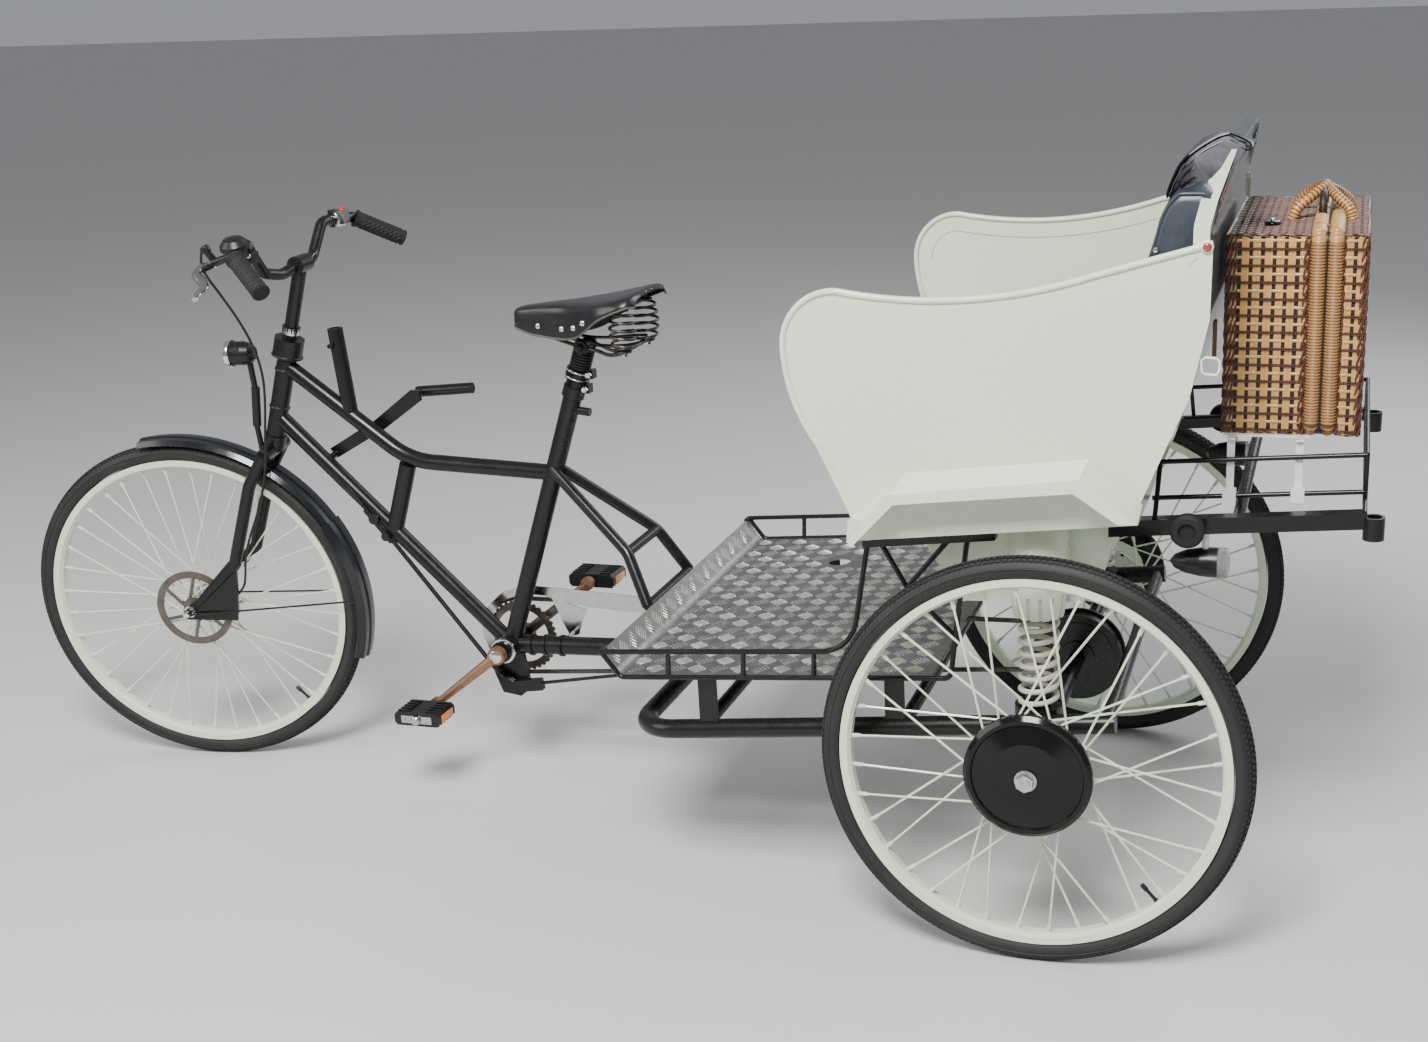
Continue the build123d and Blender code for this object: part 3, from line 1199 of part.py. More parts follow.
def buffer(side):
    """Round rubber knob with a dished face on the bar's outside."""
    y = BAR_Y + SEAT_GAP
    profile = Polyline((0, 0), (18, 0), (18, 8), (26, 10), (27, 14), (27, 26), (22, 31), (14, 31), (12, 25), (0, 25),
                       close=True)
    knob = Pos(-226, y, bar_top(-226) - BAR_W / 2) * revolve(make_face(profile), Axis.Y)
    return knob if side > 0 else mirrored(knob)


def build_all():
    loop = rear_loop()
    bearers = deck_bearers() - loop
    seat = seat_tube() - loop - bearers
    head = main_frame() - seat
    lower = down_tube() - head - seat
    nodes["main_frame"] = head
    nodes["down_tube"] = lower
    nodes["seat_tube"] = seat
    nodes["post_socket"] = post_socket() - head
    nodes["rear_frame"] = loop
    nodes["deck_bearers"] = bearers
    nodes["rear_axle"] = rear_axle() - loop
    wheel_tyre = tyre() - wheel_rim()
    for side, name in ((1, "left"), (-1, "right")):
        nodes["rear_tyre_" + name] = place_rear(wheel_tyre, side)
        nodes["rear_wheel_" + name] = place_rear(rear_wheel(), side)
    nodes["front_tyre"] = place_front(wheel_tyre)
    nodes["front_wheel"] = place_front(front_wheel())
    bars = handlebar()
    forks = fork()
    rubber = grips()
    nodes["fork"] = steered(forks)
    nodes["handlebar"] = steered(bar_place(bars))
    nodes["grips"] = steered(bar_place(rubber))
    levers = without_crumbs(controls(1) + controls(-1) - bars)
    nodes["controls"] = steered(bar_place(levers))
    nodes["headlamp"] = steered(headlamp() - forks)
    nodes["front_mudguard"] = steered(front_mudguard() - forks)
    caliper = brake_caliper() - forks
    nodes["brake_caliper"] = steered(caliper)
    nodes["brake_cable"] = steered(brake_cable() - forks - caliper) - nodes["controls"]
    post = seat_post() + saddle_springs()
    nodes["seat_post"] = post
    nodes["saddle"] = saddle() - post
    plate = deck() - bearers - seat
    nodes["deck"] = plate
    box = seat_box()
    rails = deck_rails(1) + deck_rails(-1) - plate - loop - bearers
    box -= rails
    panels = {}
    for side, name in ((1, "left"), (-1, "right")):
        panels[name] = tub_side(side) - box
        nodes["tub_side_" + name] = panels[name]
    nodes["deck_rails"] = rails
    nodes["fenders"] = fender(1) + fender(-1) - panels["left"] - panels["right"] - rails
    nodes["spring_towers"] = spring_tower(1) + spring_tower(-1) - box
    nodes["springs"] = spring(1) + spring(-1)
    carrier = rack() - box
    nodes["seat_box"] = box
    back = tub_back() - box
    nodes["tub_back"] = back
    cushion = seat_cushion() - box - back
    nodes["seat_cushion"] = cushion
    nodes["back_cushion"] = back_cushion() - back - cushion
    nodes["back_cover"] = back_cover() - back
    nodes["chain"] = chain()
    nodes["crankset"] = crankset()
    nodes["pedal_left"] = pedal(1)
    nodes["pedal_right"] = pedal(-1)
    nodes["chain_guard"] = chain_guard() - seat
    nodes["handbrake"] = handbrake() - head - lower
    nodes["brake_rods"] = brake_rods() - seat - lower - loop
    nodes["rack"] = carrier
    nodes["hamper_stand"] = hamper_stand() - carrier
    nodes["hamper_base"] = hamper_base()
    nodes["hamper_lid"] = hamper_lid()
    nodes["rear_lamps"] = rear_lamp(1) + rear_lamp(-1) - carrier
    nodes["buffers"] = buffer(1) + buffer(-1)


build_all()
os.makedirs("parts", exist_ok=True)
for name, shape in nodes.items():
    export_step(Pos(-MID_X, 0, 0) * shape, f"parts/{name}.step")
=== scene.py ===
import bpy, bmesh, json, math, random
from mathutils import Vector, Matrix, noise


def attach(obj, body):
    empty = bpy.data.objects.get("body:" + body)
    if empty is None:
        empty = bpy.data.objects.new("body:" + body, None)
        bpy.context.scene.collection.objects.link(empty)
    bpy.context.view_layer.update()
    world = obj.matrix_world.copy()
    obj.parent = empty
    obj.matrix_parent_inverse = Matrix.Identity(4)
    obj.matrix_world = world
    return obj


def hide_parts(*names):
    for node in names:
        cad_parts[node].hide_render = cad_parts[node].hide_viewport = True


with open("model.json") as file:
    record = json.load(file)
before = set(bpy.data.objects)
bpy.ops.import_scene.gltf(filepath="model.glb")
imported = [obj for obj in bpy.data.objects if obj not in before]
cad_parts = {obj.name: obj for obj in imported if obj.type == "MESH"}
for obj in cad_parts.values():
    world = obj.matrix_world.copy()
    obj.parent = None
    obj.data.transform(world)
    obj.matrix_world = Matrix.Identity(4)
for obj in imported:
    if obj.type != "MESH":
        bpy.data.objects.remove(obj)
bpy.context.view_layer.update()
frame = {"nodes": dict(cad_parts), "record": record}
nodes = frame["nodes"]
pi = math.pi


# Camera
YAW, PITCH, ROLL = 0.2783, 0.3197, -0.0359
EYE = (-1.2917, 3.0517, 1.5616)
look = Vector((math.sin(YAW) * math.cos(PITCH), -math.cos(YAW) * math.cos(PITCH), -math.sin(PITCH)))
right = look.cross(Vector((0, 0, 1))).normalized()
up = right.cross(look)
cam_x = right * math.cos(ROLL) + up * math.sin(ROLL)
cam_y = up * math.cos(ROLL) - right * math.sin(ROLL)
cam = bpy.data.objects.new("camera", bpy.data.cameras.new("camera"))
cam.data.sensor_width = 36.0
cam.data.lens = 44.71
cam.data.shift_x = -0.1002
cam.data.shift_y = 0.0293
cam.matrix_world = Matrix((
    (cam_x.x, cam_y.x, -look.x, EYE[0]),
    (cam_x.y, cam_y.y, -look.y, EYE[1]),
    (cam_x.z, cam_y.z, -look.z, EYE[2]),
    (0, 0, 0, 1)))
bpy.context.scene.collection.objects.link(cam)
bpy.context.scene.camera = cam


# Materials
class Net:
    """A short way to write a node tree."""
    def __init__(self, name):
        self.mat = bpy.data.materials.new(name)
        self.mat.use_nodes = True
        self.t = self.mat.node_tree
        self.t.nodes.clear()
        self.out = self.add("ShaderNodeOutputMaterial")
        self.b = self.add("ShaderNodeBsdfPrincipled")
        self.t.links.new(self.b.outputs[0], self.out.inputs[0])
        self.co = self.add("ShaderNodeTexCoord").outputs["Object"]

    def add(self, kind, **props):
        n = self.t.nodes.new(kind)
        for k, v in props.items():
            setattr(n, k, v)
        return n

    def put(self, sock, value):
        if hasattr(value, "is_output"):
            self.t.links.new(value, sock)
        else:
            sock.default_value = value

    def set(self, **vals):
        for k, v in vals.items():
            self.put(self.b.inputs[k.replace("_", " ")], v)

    def noise(self, scale, detail, rough=0.55):
        n = self.add("ShaderNodeTexNoise")
        self.put(n.inputs["Vector"], self.co)
        n.inputs["Scale"].default_value = scale
        n.inputs["Detail"].default_value = detail
        n.inputs["Roughness"].default_value = rough
        n.inputs["Distortion"].default_value = 0.0
        return n.outputs["Fac"]

    def ramp(self, fac, a, b, lo=0.0, hi=1.0):
        n = self.add("ShaderNodeMapRange")
        self.put(n.inputs["Value"], fac)
        n.inputs["From Min"].default_value = a
        n.inputs["From Max"].default_value = b
        n.inputs["To Min"].default_value = lo
        n.inputs["To Max"].default_value = hi
        return n.outputs["Result"]

    def math(self, op, a, b):
        n = self.add("ShaderNodeMath", operation=op)
        self.put(n.inputs[0], a)
        self.put(n.inputs[1], b)
        return n.outputs[0]

    def mix(self, fac, a, b):
        n = self.add("ShaderNodeMix", data_type="RGBA")
        self.put(n.inputs["Factor"], fac)
        for sock, v in ((n.inputs[6], a), (n.inputs[7], b)):
            self.put(sock, v if hasattr(v, "is_output") else (*v, 1.0))
        return n.outputs[2]

    def bump(self, height, strength, dist):
        n = self.add("ShaderNodeBump")
        self.put(n.inputs["Height"], height)
        n.inputs["Strength"].default_value = strength
        n.inputs["Distance"].default_value = dist
        return n.outputs[0]

    def height(self, source):
        """The z of a position or of a normal."""
        s = self.add("ShaderNodeSeparateXYZ")
        self.put(s.inputs[0], source)
        return s.outputs[2]


def painted(name, colour, rough, coat, dust=(0.30, 0.26, 0.21), dusty=0.25, dark=0.8, peel=0.04, spec=0.5):
    """Lacquer over a colour, with patches down to dark times it and dust on what faces up or lies low."""
    n = Net(name)
    big = n.noise(3.2, 5)
    fine = n.noise(38, 5, 0.65)
    col = n.mix(n.ramp(big, 0.35, 0.7), colour, tuple(c * dark for c in colour))
    up_z = n.height(n.add("ShaderNodeNewGeometry").outputs["Normal"])
    lay = n.math("MULTIPLY", n.ramp(up_z, 0.15, 0.95), n.ramp(fine, 0.4, 0.75))
    low = n.ramp(n.height(n.co), 0.75, 0.2)
    splash = n.math("MULTIPLY", low, n.ramp(big, 0.45, 0.75, 0.0, 0.7))
    film = n.math("MULTIPLY", n.math("ADD", lay, splash), dusty)
    col = n.mix(film, col, dust)
    n.set(Base_Color=col, Coat_Weight=coat, Coat_Roughness=0.12, Specular_IOR_Level=spec)
    n.set(Roughness=n.ramp(n.math("ADD", fine, film), 0.3, 1.2, rough * 0.8, min(rough * 1.9, 0.9)))
    n.set(Normal=n.bump(n.noise(240, 3), peel, 0.0004))
    M[name] = n.mat


def metal(name, colour, rough, stain=(0.2, 0.11, 0.05), stained=0.2, scratch=0.15):
    """Bare metal with stained patches that are rough and don't shine."""
    n = Net(name)
    fine = n.noise(60, 6, 0.7)
    patch = n.noise(7, 6, 0.6)
    fac = n.math("MULTIPLY", n.ramp(n.math("MULTIPLY", fine, patch), 0.22, 0.36), stained)
    n.set(Base_Color=n.mix(fac, colour, stain))
    n.set(Metallic=n.ramp(fac, 0.3, 0.9, 1.0, 0.2))
    n.set(Roughness=n.ramp(n.math("ADD", fine, fac), 0.3, 1.2, rough * 0.8, min(0.95, rough * 2.4)))
    n.set(Normal=n.bump(n.noise(90, 3, 0.6), scratch, 0.0004))
    M[name] = n.mat


def rubber(name, colour, rough, grain, strength, dust=(0.24, 0.2, 0.16), dusty=0.35):
    n = Net(name)
    big = n.noise(6, 6, 0.65)
    n.set(Base_Color=n.mix(n.ramp(big, 0.38, 0.72, 0.0, dusty), colour, dust))
    n.set(Roughness=rough, Specular_IOR_Level=0.35)
    n.set(Normal=n.bump(n.noise(grain, 5, 0.7), strength, 0.0008))
    M[name] = n.mat


M = {}
painted("black_paint", (0.0065, 0.0068, 0.0075), 0.27, 0.03, dusty=0.008, dark=0.9, peel=0.015, spec=0.33)
painted("gloss_black", (0.005, 0.005, 0.006), 0.11, 0.06, dusty=0.01, peel=0.01, spec=0.24)
painted("guard_black", (0.007, 0.008, 0.011), 0.17, 0.15, dusty=0.015, peel=0.01, spec=0.4)
painted("cream_paint", (0.665, 0.73, 0.575), 0.28, 0.5, (0.45, 0.42, 0.32), 0.10, dark=0.96)
painted("cream_rim", (0.66, 0.71, 0.58), 0.34, 0.35, (0.3, 0.25, 0.18), 0.15, dark=0.94)
metal("rotor_steel", (0.17, 0.155, 0.14), 0.34, (0.10, 0.06, 0.04), 0.4, 0.15)
metal("bare_steel", (0.55, 0.55, 0.54), 0.32, stained=0.35)
metal("chrome", (0.74, 0.75, 0.76), 0.12, stained=0.18, scratch=0.04)
metal("rusty_steel", (0.34, 0.2, 0.13), 0.45, (0.16, 0.07, 0.035), 0.8, 0.4)
metal("chequer_plate", (0.31, 0.305, 0.30), 0.38, (0.17, 0.15, 0.13), 0.25, 0.12)
rubber("tyre_rubber", (0.014, 0.014, 0.0155), 0.6, 260, 0.18, (0.06, 0.055, 0.05), 0.25)
rubber("grip_rubber", (0.010, 0.010, 0.011), 0.7, 300, 0.25, dusty=0.02)
painted("black_plastic", (0.0075, 0.0075, 0.0082), 0.36, 0.05, dusty=0.02, peel=0.06, spec=0.36)
painted("saddle_leather", (0.0075, 0.0078, 0.0095), 0.3, 0.12, dusty=0.03, peel=0.35)
painted("seat_vinyl", (0.024, 0.031, 0.043), 0.38, 0.08, dusty=0.05, peel=0.3, spec=0.4)
painted("cover_cloth", (0.036, 0.025, 0.042), 0.5, 0.03, dusty=0.03, peel=0.35)
painted("wicker", (0.016, 0.007, 0.004), 0.6, 0.05, dusty=0.05)
painted("spring_paint", (0.62, 0.61, 0.5), 0.4, 0.3, dusty=0.35)
painted("white_metal", (0.82, 0.83, 0.82), 0.3, 0.4, dusty=0.1)
# Grey painted shade and painted reflection for the back panel's rear face, which is cream paint lying in shade
painted("back_painted_shade", (0.17, 0.205, 0.215), 0.16, 0.6, (0.3, 0.27, 0.24), 0.3, dark=0.6)
metal("bright_alu", (0.80, 0.80, 0.79), 0.22, stained=0.12, scratch=0.2)
# The tread bars: a near-white copy of the plate's metal, as a painted highlight on the raised bars against the darker
# plate between them
metal("tread_bar", (0.95, 0.95, 0.94), 0.24, stained=0.1, scratch=0.1)
metal("dark_wire", (0.10, 0.095, 0.09), 0.35, (0.05, 0.03, 0.02), 0.6, 0.1)
metal("guard_metal", (0.50, 0.50, 0.50), 0.17, (0.25, 0.22, 0.19), 0.12, 0.05)
painted("red_plastic", (0.55, 0.03, 0.02), 0.25, 0.6, dusty=0.1)
painted("red_lens", (0.30, 0.05, 0.025), 0.2, 0.8, dusty=0.2)
painted("dark_strip", (0.045, 0.035, 0.032), 0.5, 0.1, dusty=0.2)
# The cream paint darkened to about a quarter: painted shade along the step at the hem strip's inner edge
painted("hem_edge_painted_shade", (0.16, 0.17, 0.14), 0.6, 0.0, dusty=0.2)
metal("chain_steel", (0.11, 0.10, 0.09), 0.4, (0.05, 0.03, 0.02), 0.7, 0.2)
painted("pale_edge", (0.075, 0.07, 0.06), 0.5, 0.1, dusty=0.1)
glass = Net("clear_lens")
glass.set(Base_Color=(0.85, 0.88, 0.88, 1), Roughness=0.08, Transmission_Weight=0.85, IOR=1.46)
M["clear_lens"] = glass.mat
metal("lens_back", (0.75, 0.76, 0.76), 0.15, stained=0.05)
painted("amber_lens", (0.85, 0.24, 0.02), 0.18, 0.8, dusty=0.15)
painted("cane", (0.60, 0.34, 0.11), 0.34, 0.35, (0.2, 0.1, 0.04), 0.3, dark=0.6)
painted("cane_dark", (0.27, 0.10, 0.035), 0.4, 0.3, (0.12, 0.06, 0.03), 0.3, dark=0.55)
painted("cane_red", (0.095, 0.030, 0.016), 0.42, 0.3, (0.1, 0.06, 0.04), 0.2, dark=0.55)
painted("cane_wrap", (0.55, 0.29, 0.10), 0.33, 0.4, (0.2, 0.1, 0.04), 0.25, dark=0.68)
# A darker copy of the wrapping cane: painted shade in the grooves between windings
painted("cane_groove_painted_shade", (0.17, 0.07, 0.02), 0.5, 0.1, (0.1, 0.05, 0.02), 0.2, dark=0.6)
painted("brown_leather", (0.12, 0.05, 0.025), 0.45, 0.2, dusty=0.1, peel=0.3)
metal("brass", (0.55, 0.4, 0.16), 0.3, stained=0.4)

for sub in frame["record"]["subparts"]:
    ob = nodes[sub["node"]]
    ob.data.materials.clear()
    ob.data.materials.append(M[sub["material_slot"]])


# Floor and light
FLOOR_GREY = (0.58, 0.58, 0.575)
FLOOR_HALF = 60
ground = Net("floor")
ground.set(Base_Color=ground.mix(ground.noise(2.0, 3), FLOOR_GREY, tuple(c * 0.97 for c in FLOOR_GREY)), Roughness=0.8)
bm = bmesh.new()
bmesh.ops.create_grid(bm, x_segments=1, y_segments=1, size=FLOOR_HALF)
mesh = bpy.data.meshes.new("floor")
bm.to_mesh(mesh)
floor = bpy.data.objects.new("floor", mesh)
bpy.context.scene.collection.objects.link(floor)
mesh.materials.append(ground.mat)

world = bpy.data.worlds.new("world")
bpy.context.scene.world = world
world.use_nodes = True
bg = world.node_tree.nodes["Background"]
bg.inputs[0].default_value = (0.93, 0.95, 1.0, 1)
bg.inputs[1].default_value = 0.35


def area(name, place, target, size, power, colour=(1, 1, 1)):
    light = bpy.data.lights.new(name, "AREA")
    light.size = size
    light.energy = power
    light.color = colour
    ob = bpy.data.objects.new(name, light)
    ob.location = place
    ob.rotation_euler = (Vector(target) - Vector(place)).to_track_quat("-Z", "Y").to_euler()
    bpy.context.scene.collection.objects.link(ob)


area("key", (-0.5, 3.2, 4.2), (0, 0, 0.5), 1.5, 430, (1, 0.98, 0.95))
area("side", (3.5, 2.5, 2.6), (0, 0, 0.5), 2.5, 90)
area("back", (-2.5, -3.0, 3.0), (0, 0, 0.6), 3.0, 110, (0.95, 0.98, 1))


# Places: x, y and z in millimetres from the ground under the rear axle
ORIGIN_X = 838
AXLE_Z, WHEEL_Y, FRONT_X = 352, 482, 1858
BB_X, BB_Z = 1152, 298
HEAD_X, HEAD_Z = 1569, 922


def P(x, y, z):
    return Vector(((x - ORIGIN_X) / 1000, y / 1000, z / 1000))


def mm(p):
    """The way back, from metres in the frame."""
    return Vector((p.x * 1000 + ORIGIN_X, p.y * 1000, p.z * 1000))


LEAN = math.radians(17.5)
HEAD = P(HEAD_X, 0, HEAD_Z)
HEAD_AXIS = Vector((-math.sin(LEAN), 0, math.cos(LEAN)))


def about_head(deg):
    return Matrix.Translation(HEAD) @ Matrix.Rotation(math.radians(deg), 4, HEAD_AXIS) @ Matrix.Translation(-HEAD)


# At rest the fork and the bar are turned, each by its own angle, as in the photo
STEER = about_head(9.5)
BAR = about_head(4.3)
FLIP = Matrix.Diagonal((1, -1, 1, 1))


def in_frame(matrix):
    """Reads a place as it was before matrix turned it."""
    back = matrix.inverted()
    return lambda c: mm(back @ P(*c))


fork_read, bar_read = in_frame(STEER), in_frame(BAR)


def along(origin, axis):
    return Matrix.Translation(origin) @ Vector(axis).to_track_quat("Z", "Y").to_matrix().to_4x4()


def angles(n):
    return [2 * pi * k / n for k in range(n)]


def hoop(r, y, n):
    """Points on a circle about the Y axis."""
    return [(r * math.cos(a), y, r * math.sin(a)) for a in angles(n)]


def smooth_line(pts, per, closed=False):
    """A Catmull-Rom line through the points."""
    pts = [Vector(p) for p in pts]
    ext = pts[-1:] + pts + pts[:2] if closed else [pts[0] * 2 - pts[1]] + pts + [pts[-1] * 2 - pts[-2]]
    out = []
    for a, b, c, d in zip(ext, ext[1:], ext[2:], ext[3:]):
        for t in (i / per for i in range(per)):
            out.append(0.5 * ((2 * b) + (c - a) * t + (2 * a - 5 * b + 4 * c - d) * t * t
                              + (3 * b - a - 3 * c + d) * t ** 3))
    return out if closed else out + pts[-1:]


class Form:
    """Collects the faces of one piece. Places are in metres, and radii, profiles and sizes in millimetres."""
    def __init__(self, matrix=None):
        self.v, self.f, self.m = [], [], []
        self.x = matrix or Matrix.Identity(4)

    def ring(self, pts):
        i = len(self.v)
        self.v += [self.x @ Vector(p) for p in pts]
        return list(range(i, i + len(pts)))

    def bridge(self, a, b, mat=0, closed=True):
        n = len(a)
        for i in range(n if closed else n - 1):
            j = (i + 1) % n
            self.f.append((a[i], a[j], b[j], b[i]))
            self.m.append(mat)

    def cap(self, a, mat=0, flip=False):
        self.f.append(tuple(reversed(a)) if flip else tuple(a))
        self.m.append(mat)

    def tube(self, pts, r, sides=8, mat=0, loop=False, flat=(1, 1), start=None):
        pts = [Vector(p) for p in pts]
        n = len(pts)
        rings, normal = [], start
        for i, p in enumerate(pts):
            d = (pts[(i + 1) % n] - pts[i - 1]) if loop else (pts[min(i + 1, n - 1)] - pts[max(i - 1, 0)])
            d.normalize()
            normal = (d.orthogonal() if normal is None else normal - d * normal.dot(d)).normalized()
            side = d.cross(normal)
            rr = (r[i] if isinstance(r, list) else r) / 1000
            turn = [2 * pi * (k + 0.5) / sides for k in range(sides)]
            rings.append(self.ring([p + normal * (rr * flat[0] * math.cos(a)) + side * (rr * flat[1] * math.sin(a))
                                    for a in turn]))
        for a, b in zip(rings, rings[1:]):
            self.bridge(a, b, mat)
        if loop:
            self.bridge(rings[-1], rings[0], mat)
        else:
            self.cap(rings[0], mat, True)
            self.cap(rings[-1], mat)

    def lathe(self, profile, origin, axis, n=32, mat=0, ends=True):
        """profile is (radius, height along the axis)."""
        place = along(origin, axis)
        rings = []
        for r, h in ((r / 1000, h / 1000) for r, h in profile):
            rings.append(self.ring([place @ Vector((r * math.cos(a), r * math.sin(a), h)) for a in angles(n)]))
        for a, b in zip(rings, rings[1:]):
            self.bridge(a, b, mat)
        if ends:
            self.cap(rings[0], mat, True)
            self.cap(rings[-1], mat)

    def box(self, centre, size, mat=0, rot=None):
        place = Matrix.Translation(centre) @ (rot or Matrix.Identity(4))
        x, y, z = (length / 2000 for length in size)
        low, top = (self.ring([place @ Vector((a * x, b * y, h)) for a, b in ((-1, -1), (1, -1), (1, 1), (-1, 1))])
                    for h in (-z, z))
        self.bridge(low, top, mat)
        self.cap(low, mat, True)
        self.cap(top, mat)

    def grid(self, rows, mat=0, wrap=False):
        for a, b in zip(rows, rows[1:]):
            self.bridge(a, b, mat, wrap)

    def done(self, name, body, mats, replaces=(), slot=None, angle=38, bevel=0.0, thick=0.0):
        """Makes the piece. bevel and thick are in metres."""
        me = bpy.data.meshes.new(name)
        me.from_pydata(self.v, [], self.f)
        for m in [mats] if isinstance(mats, str) else mats:
            me.materials.append(M[m])
        me.polygons.foreach_set("material_index", self.m)
        if self.x.determinant() < 0:
            me.flip_normals()
        bm = bmesh.new()
        bm.from_mesh(me)
        if bevel:
            edges = [e for e in bm.edges if len(e.link_faces) == 2 and e.calc_face_angle(0) > 0.7]
            bmesh.ops.bevel(bm, geom=edges, offset=bevel, segments=2, profile=0.6, affect="EDGES",
                            clamp_overlap=True, material=-1)
        if not thick:
            bmesh.ops.recalc_face_normals(bm, faces=bm.faces)
        bm.to_mesh(me)
        bm.free()
        me.shade_smooth()
        me.set_sharp_from_angle(angle=math.radians(angle))
        ob = bpy.data.objects.new(name, me)
        bpy.context.scene.collection.objects.link(ob)
        if thick:
            mod = ob.modifiers.new("thick", "SOLIDIFY")
            mod.thickness = thick
            mod.offset = 0
        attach(ob, body)
        if replaces:
            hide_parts(*replaces)
        return ob


def repaint(node, names, choose):
    """More materials on a CAD piece, chosen for each face by its middle, in millimetres."""
    me = nodes[node].data
    for name in names:
        me.materials.append(M[name])
    for p in me.polygons:
        k = choose(mm(p.center), p.normal)
        if k:
            p.material_index = k


# Brake cable
ROUTE = [(1624, 190, 1133), (1637, 179, 1112), (1641, 165, 1084), (1622, 149, 1036), (1604, 131, 983),
         (1593, 113, 928), (1592, 97, 870), (1603, 84, 812), (1617, 76, 753), (1627, 73, 692),
         (1642, 72, 632), (1664, 71, 577), (1692, 69, 523), (1712, 65, 476), (1722, 56, 434),
         (1736, 46, 399), (1767, 40, 374)]
cu = bpy.data.curves.new("brake_cable_run", "CURVE")
cu.dimensions = "3D"
cu.bevel_depth = 0.0025
cu.bevel_resolution = 3
cu.use_fill_caps = True
sp = cu.splines.new("NURBS")
sp.points.add(len(ROUTE) - 1)
for pt, c in zip(sp.points, ROUTE):
    pt.co = (*(STEER @ P(*c)), 1)
sp.order_u = 3
sp.use_endpoint_u = True
sp.resolution_u = 8
cu.materials.append(M["black_plastic"])
cable = bpy.data.objects.new("brake_cable_run", cu)
bpy.context.scene.collection.objects.link(cable)
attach(cable, "steering")
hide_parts("brake_cable")


# Tyres with small tread blocks
# Metres: wheel centre to section centre, half width, and from the section's centre to carcass, block foot and top
SECTION_R, TYRE_HALF_W, CARCASS_R, TREAD_FOOT, TREAD_TOP = 0.3315, 0.0200, 0.0172, 0.0168, 0.0204
TYRE_STEPS, TREAD_PITCH = 144, 212


def tyre(name, body, place, node):
    t = Form(place)
    rows = []
    for a in (math.radians(a) for a in range(-128, 129, 8)):
        wide = TYRE_HALF_W * (1.0 if abs(a) < 1.2 else 1.0 - 0.12 * (abs(a) - 1.2))
        r = SECTION_R + (CARCASS_R if abs(a) < 1.15 else CARCASS_R + 0.0016 * min(1, (abs(a) - 1.15) * 4)) * math.cos(a)
        rows.append(t.ring(hoop(r, wide * math.sin(a), TYRE_STEPS)))
    t.grid(rows, 0, True)
    for line in (1.35, -1.35):
        t.tube(hoop(SECTION_R + 0.0193 * math.cos(line), 0.0204 * math.sin(line), TYRE_STEPS), 0.8, 4, 0, True)
    half = math.radians(8.8)
    for row, mid in enumerate((-57, -34, -11.5, 11.5, 34, 57)):
        m = math.radians(mid)
        skew = 0.0022 if mid > 0 else -0.0022
        for k in range(TREAD_PITCH):
            a0 = 2 * pi * (k + (0.5 if row % 2 else 0)) / TREAD_PITCH
            low, top = [], []
            for da, dm in ((-0.33, -1), (0.33, -1), (0.33, 1), (-0.33, 1)):
                a = a0 + da * 2 * pi / TREAD_PITCH + skew * dm * (1 if abs(mid) > 20 else -1)
                for s, out in ((low, TREAD_FOOT), (top, TREAD_TOP)):
                    q = m + half * dm * (1 if s is low else 0.8)
                    r, y = SECTION_R + out * math.cos(q), (TYRE_HALF_W + out - TREAD_TOP) * math.sin(q)
                    s.append((r * math.cos(a), y, r * math.sin(a)))
            lo, hi = t.ring(low), t.ring(top)
            t.bridge(lo, hi, 0)
            t.cap(hi, 0)
    t.done(name, body, "tyre_rubber", [node], "tyre_rubber", 30)


REAR_L = Matrix.Translation(P(0, WHEEL_Y, AXLE_Z))
REAR_R = FLIP @ REAR_L
FRONT = STEER @ Matrix.Translation(P(FRONT_X, 0, AXLE_Z))
tyre("tyre_rear_left", "rear_wheel_left", REAR_L, "rear_tyre_left")
tyre("tyre_rear_right", "rear_wheel_right", REAR_R, "rear_tyre_right")
tyre("tyre_front", "front_wheel", FRONT, "front_tyre")


# Spoke nipples, valve and hub details
SPOKES, SPOKE_CROSS, RIM_EDGE_D, RIM_DEPTH = 36, 60, 635, 17
VALVE_AT, VALVE_R = math.radians(228), 0.300


def wheel_details(name, body, place, flange_d, hub_w, rear):
    t = Form(place)
    r_hub, r_rim = flange_d / 2 - 3, RIM_EDGE_D / 2 - RIM_DEPTH + 2
    for i in range(SPOKES):
        side = 1 if i % 2 == 0 else -1
        lean = 1 if i % 4 < 2 else -1
        a = math.radians(360 / SPOKES * (i + 0.5))
        b = a + lean * math.radians(SPOKE_CROSS)
        hub = Vector((r_hub * math.cos(b), side * (hub_w / 2 - 3 - 1.5 * lean), r_hub * math.sin(b))) / 1000
        rim = Vector((r_rim * math.cos(a), side * 2, r_rim * math.sin(a))) / 1000
        d = (hub - rim).normalized()
        t.lathe([(5, -1), (5, 2), (3.6, 3), (3.6, 15), (2.4, 18)], rim, d, 8, 0)
        t.lathe([(3.8, -1.5), (3.8, 1.5)], hub + Vector((0, side * 0.003, 0)), (0, side, 0), 8, 0)
    base = Vector((VALVE_R * math.cos(VALVE_AT), 0, VALVE_R * math.sin(VALVE_AT)))
    t.lathe([(4.5, 0), (4.5, 2), (3, 3), (3, 22), (4.2, 23), (4.2, 34), (3, 36)], base, -base.normalized(), 10, 1)
    if rear:
        t.lathe([(17.5, 0), (17.5, 1.2), (10, 1.8)], (0, 0.0631, 0), (0, 1, 0), 28, 2)
    t.done(name, body, ["cream_rim", "black_plastic", "chrome"], slot="cream_paint")


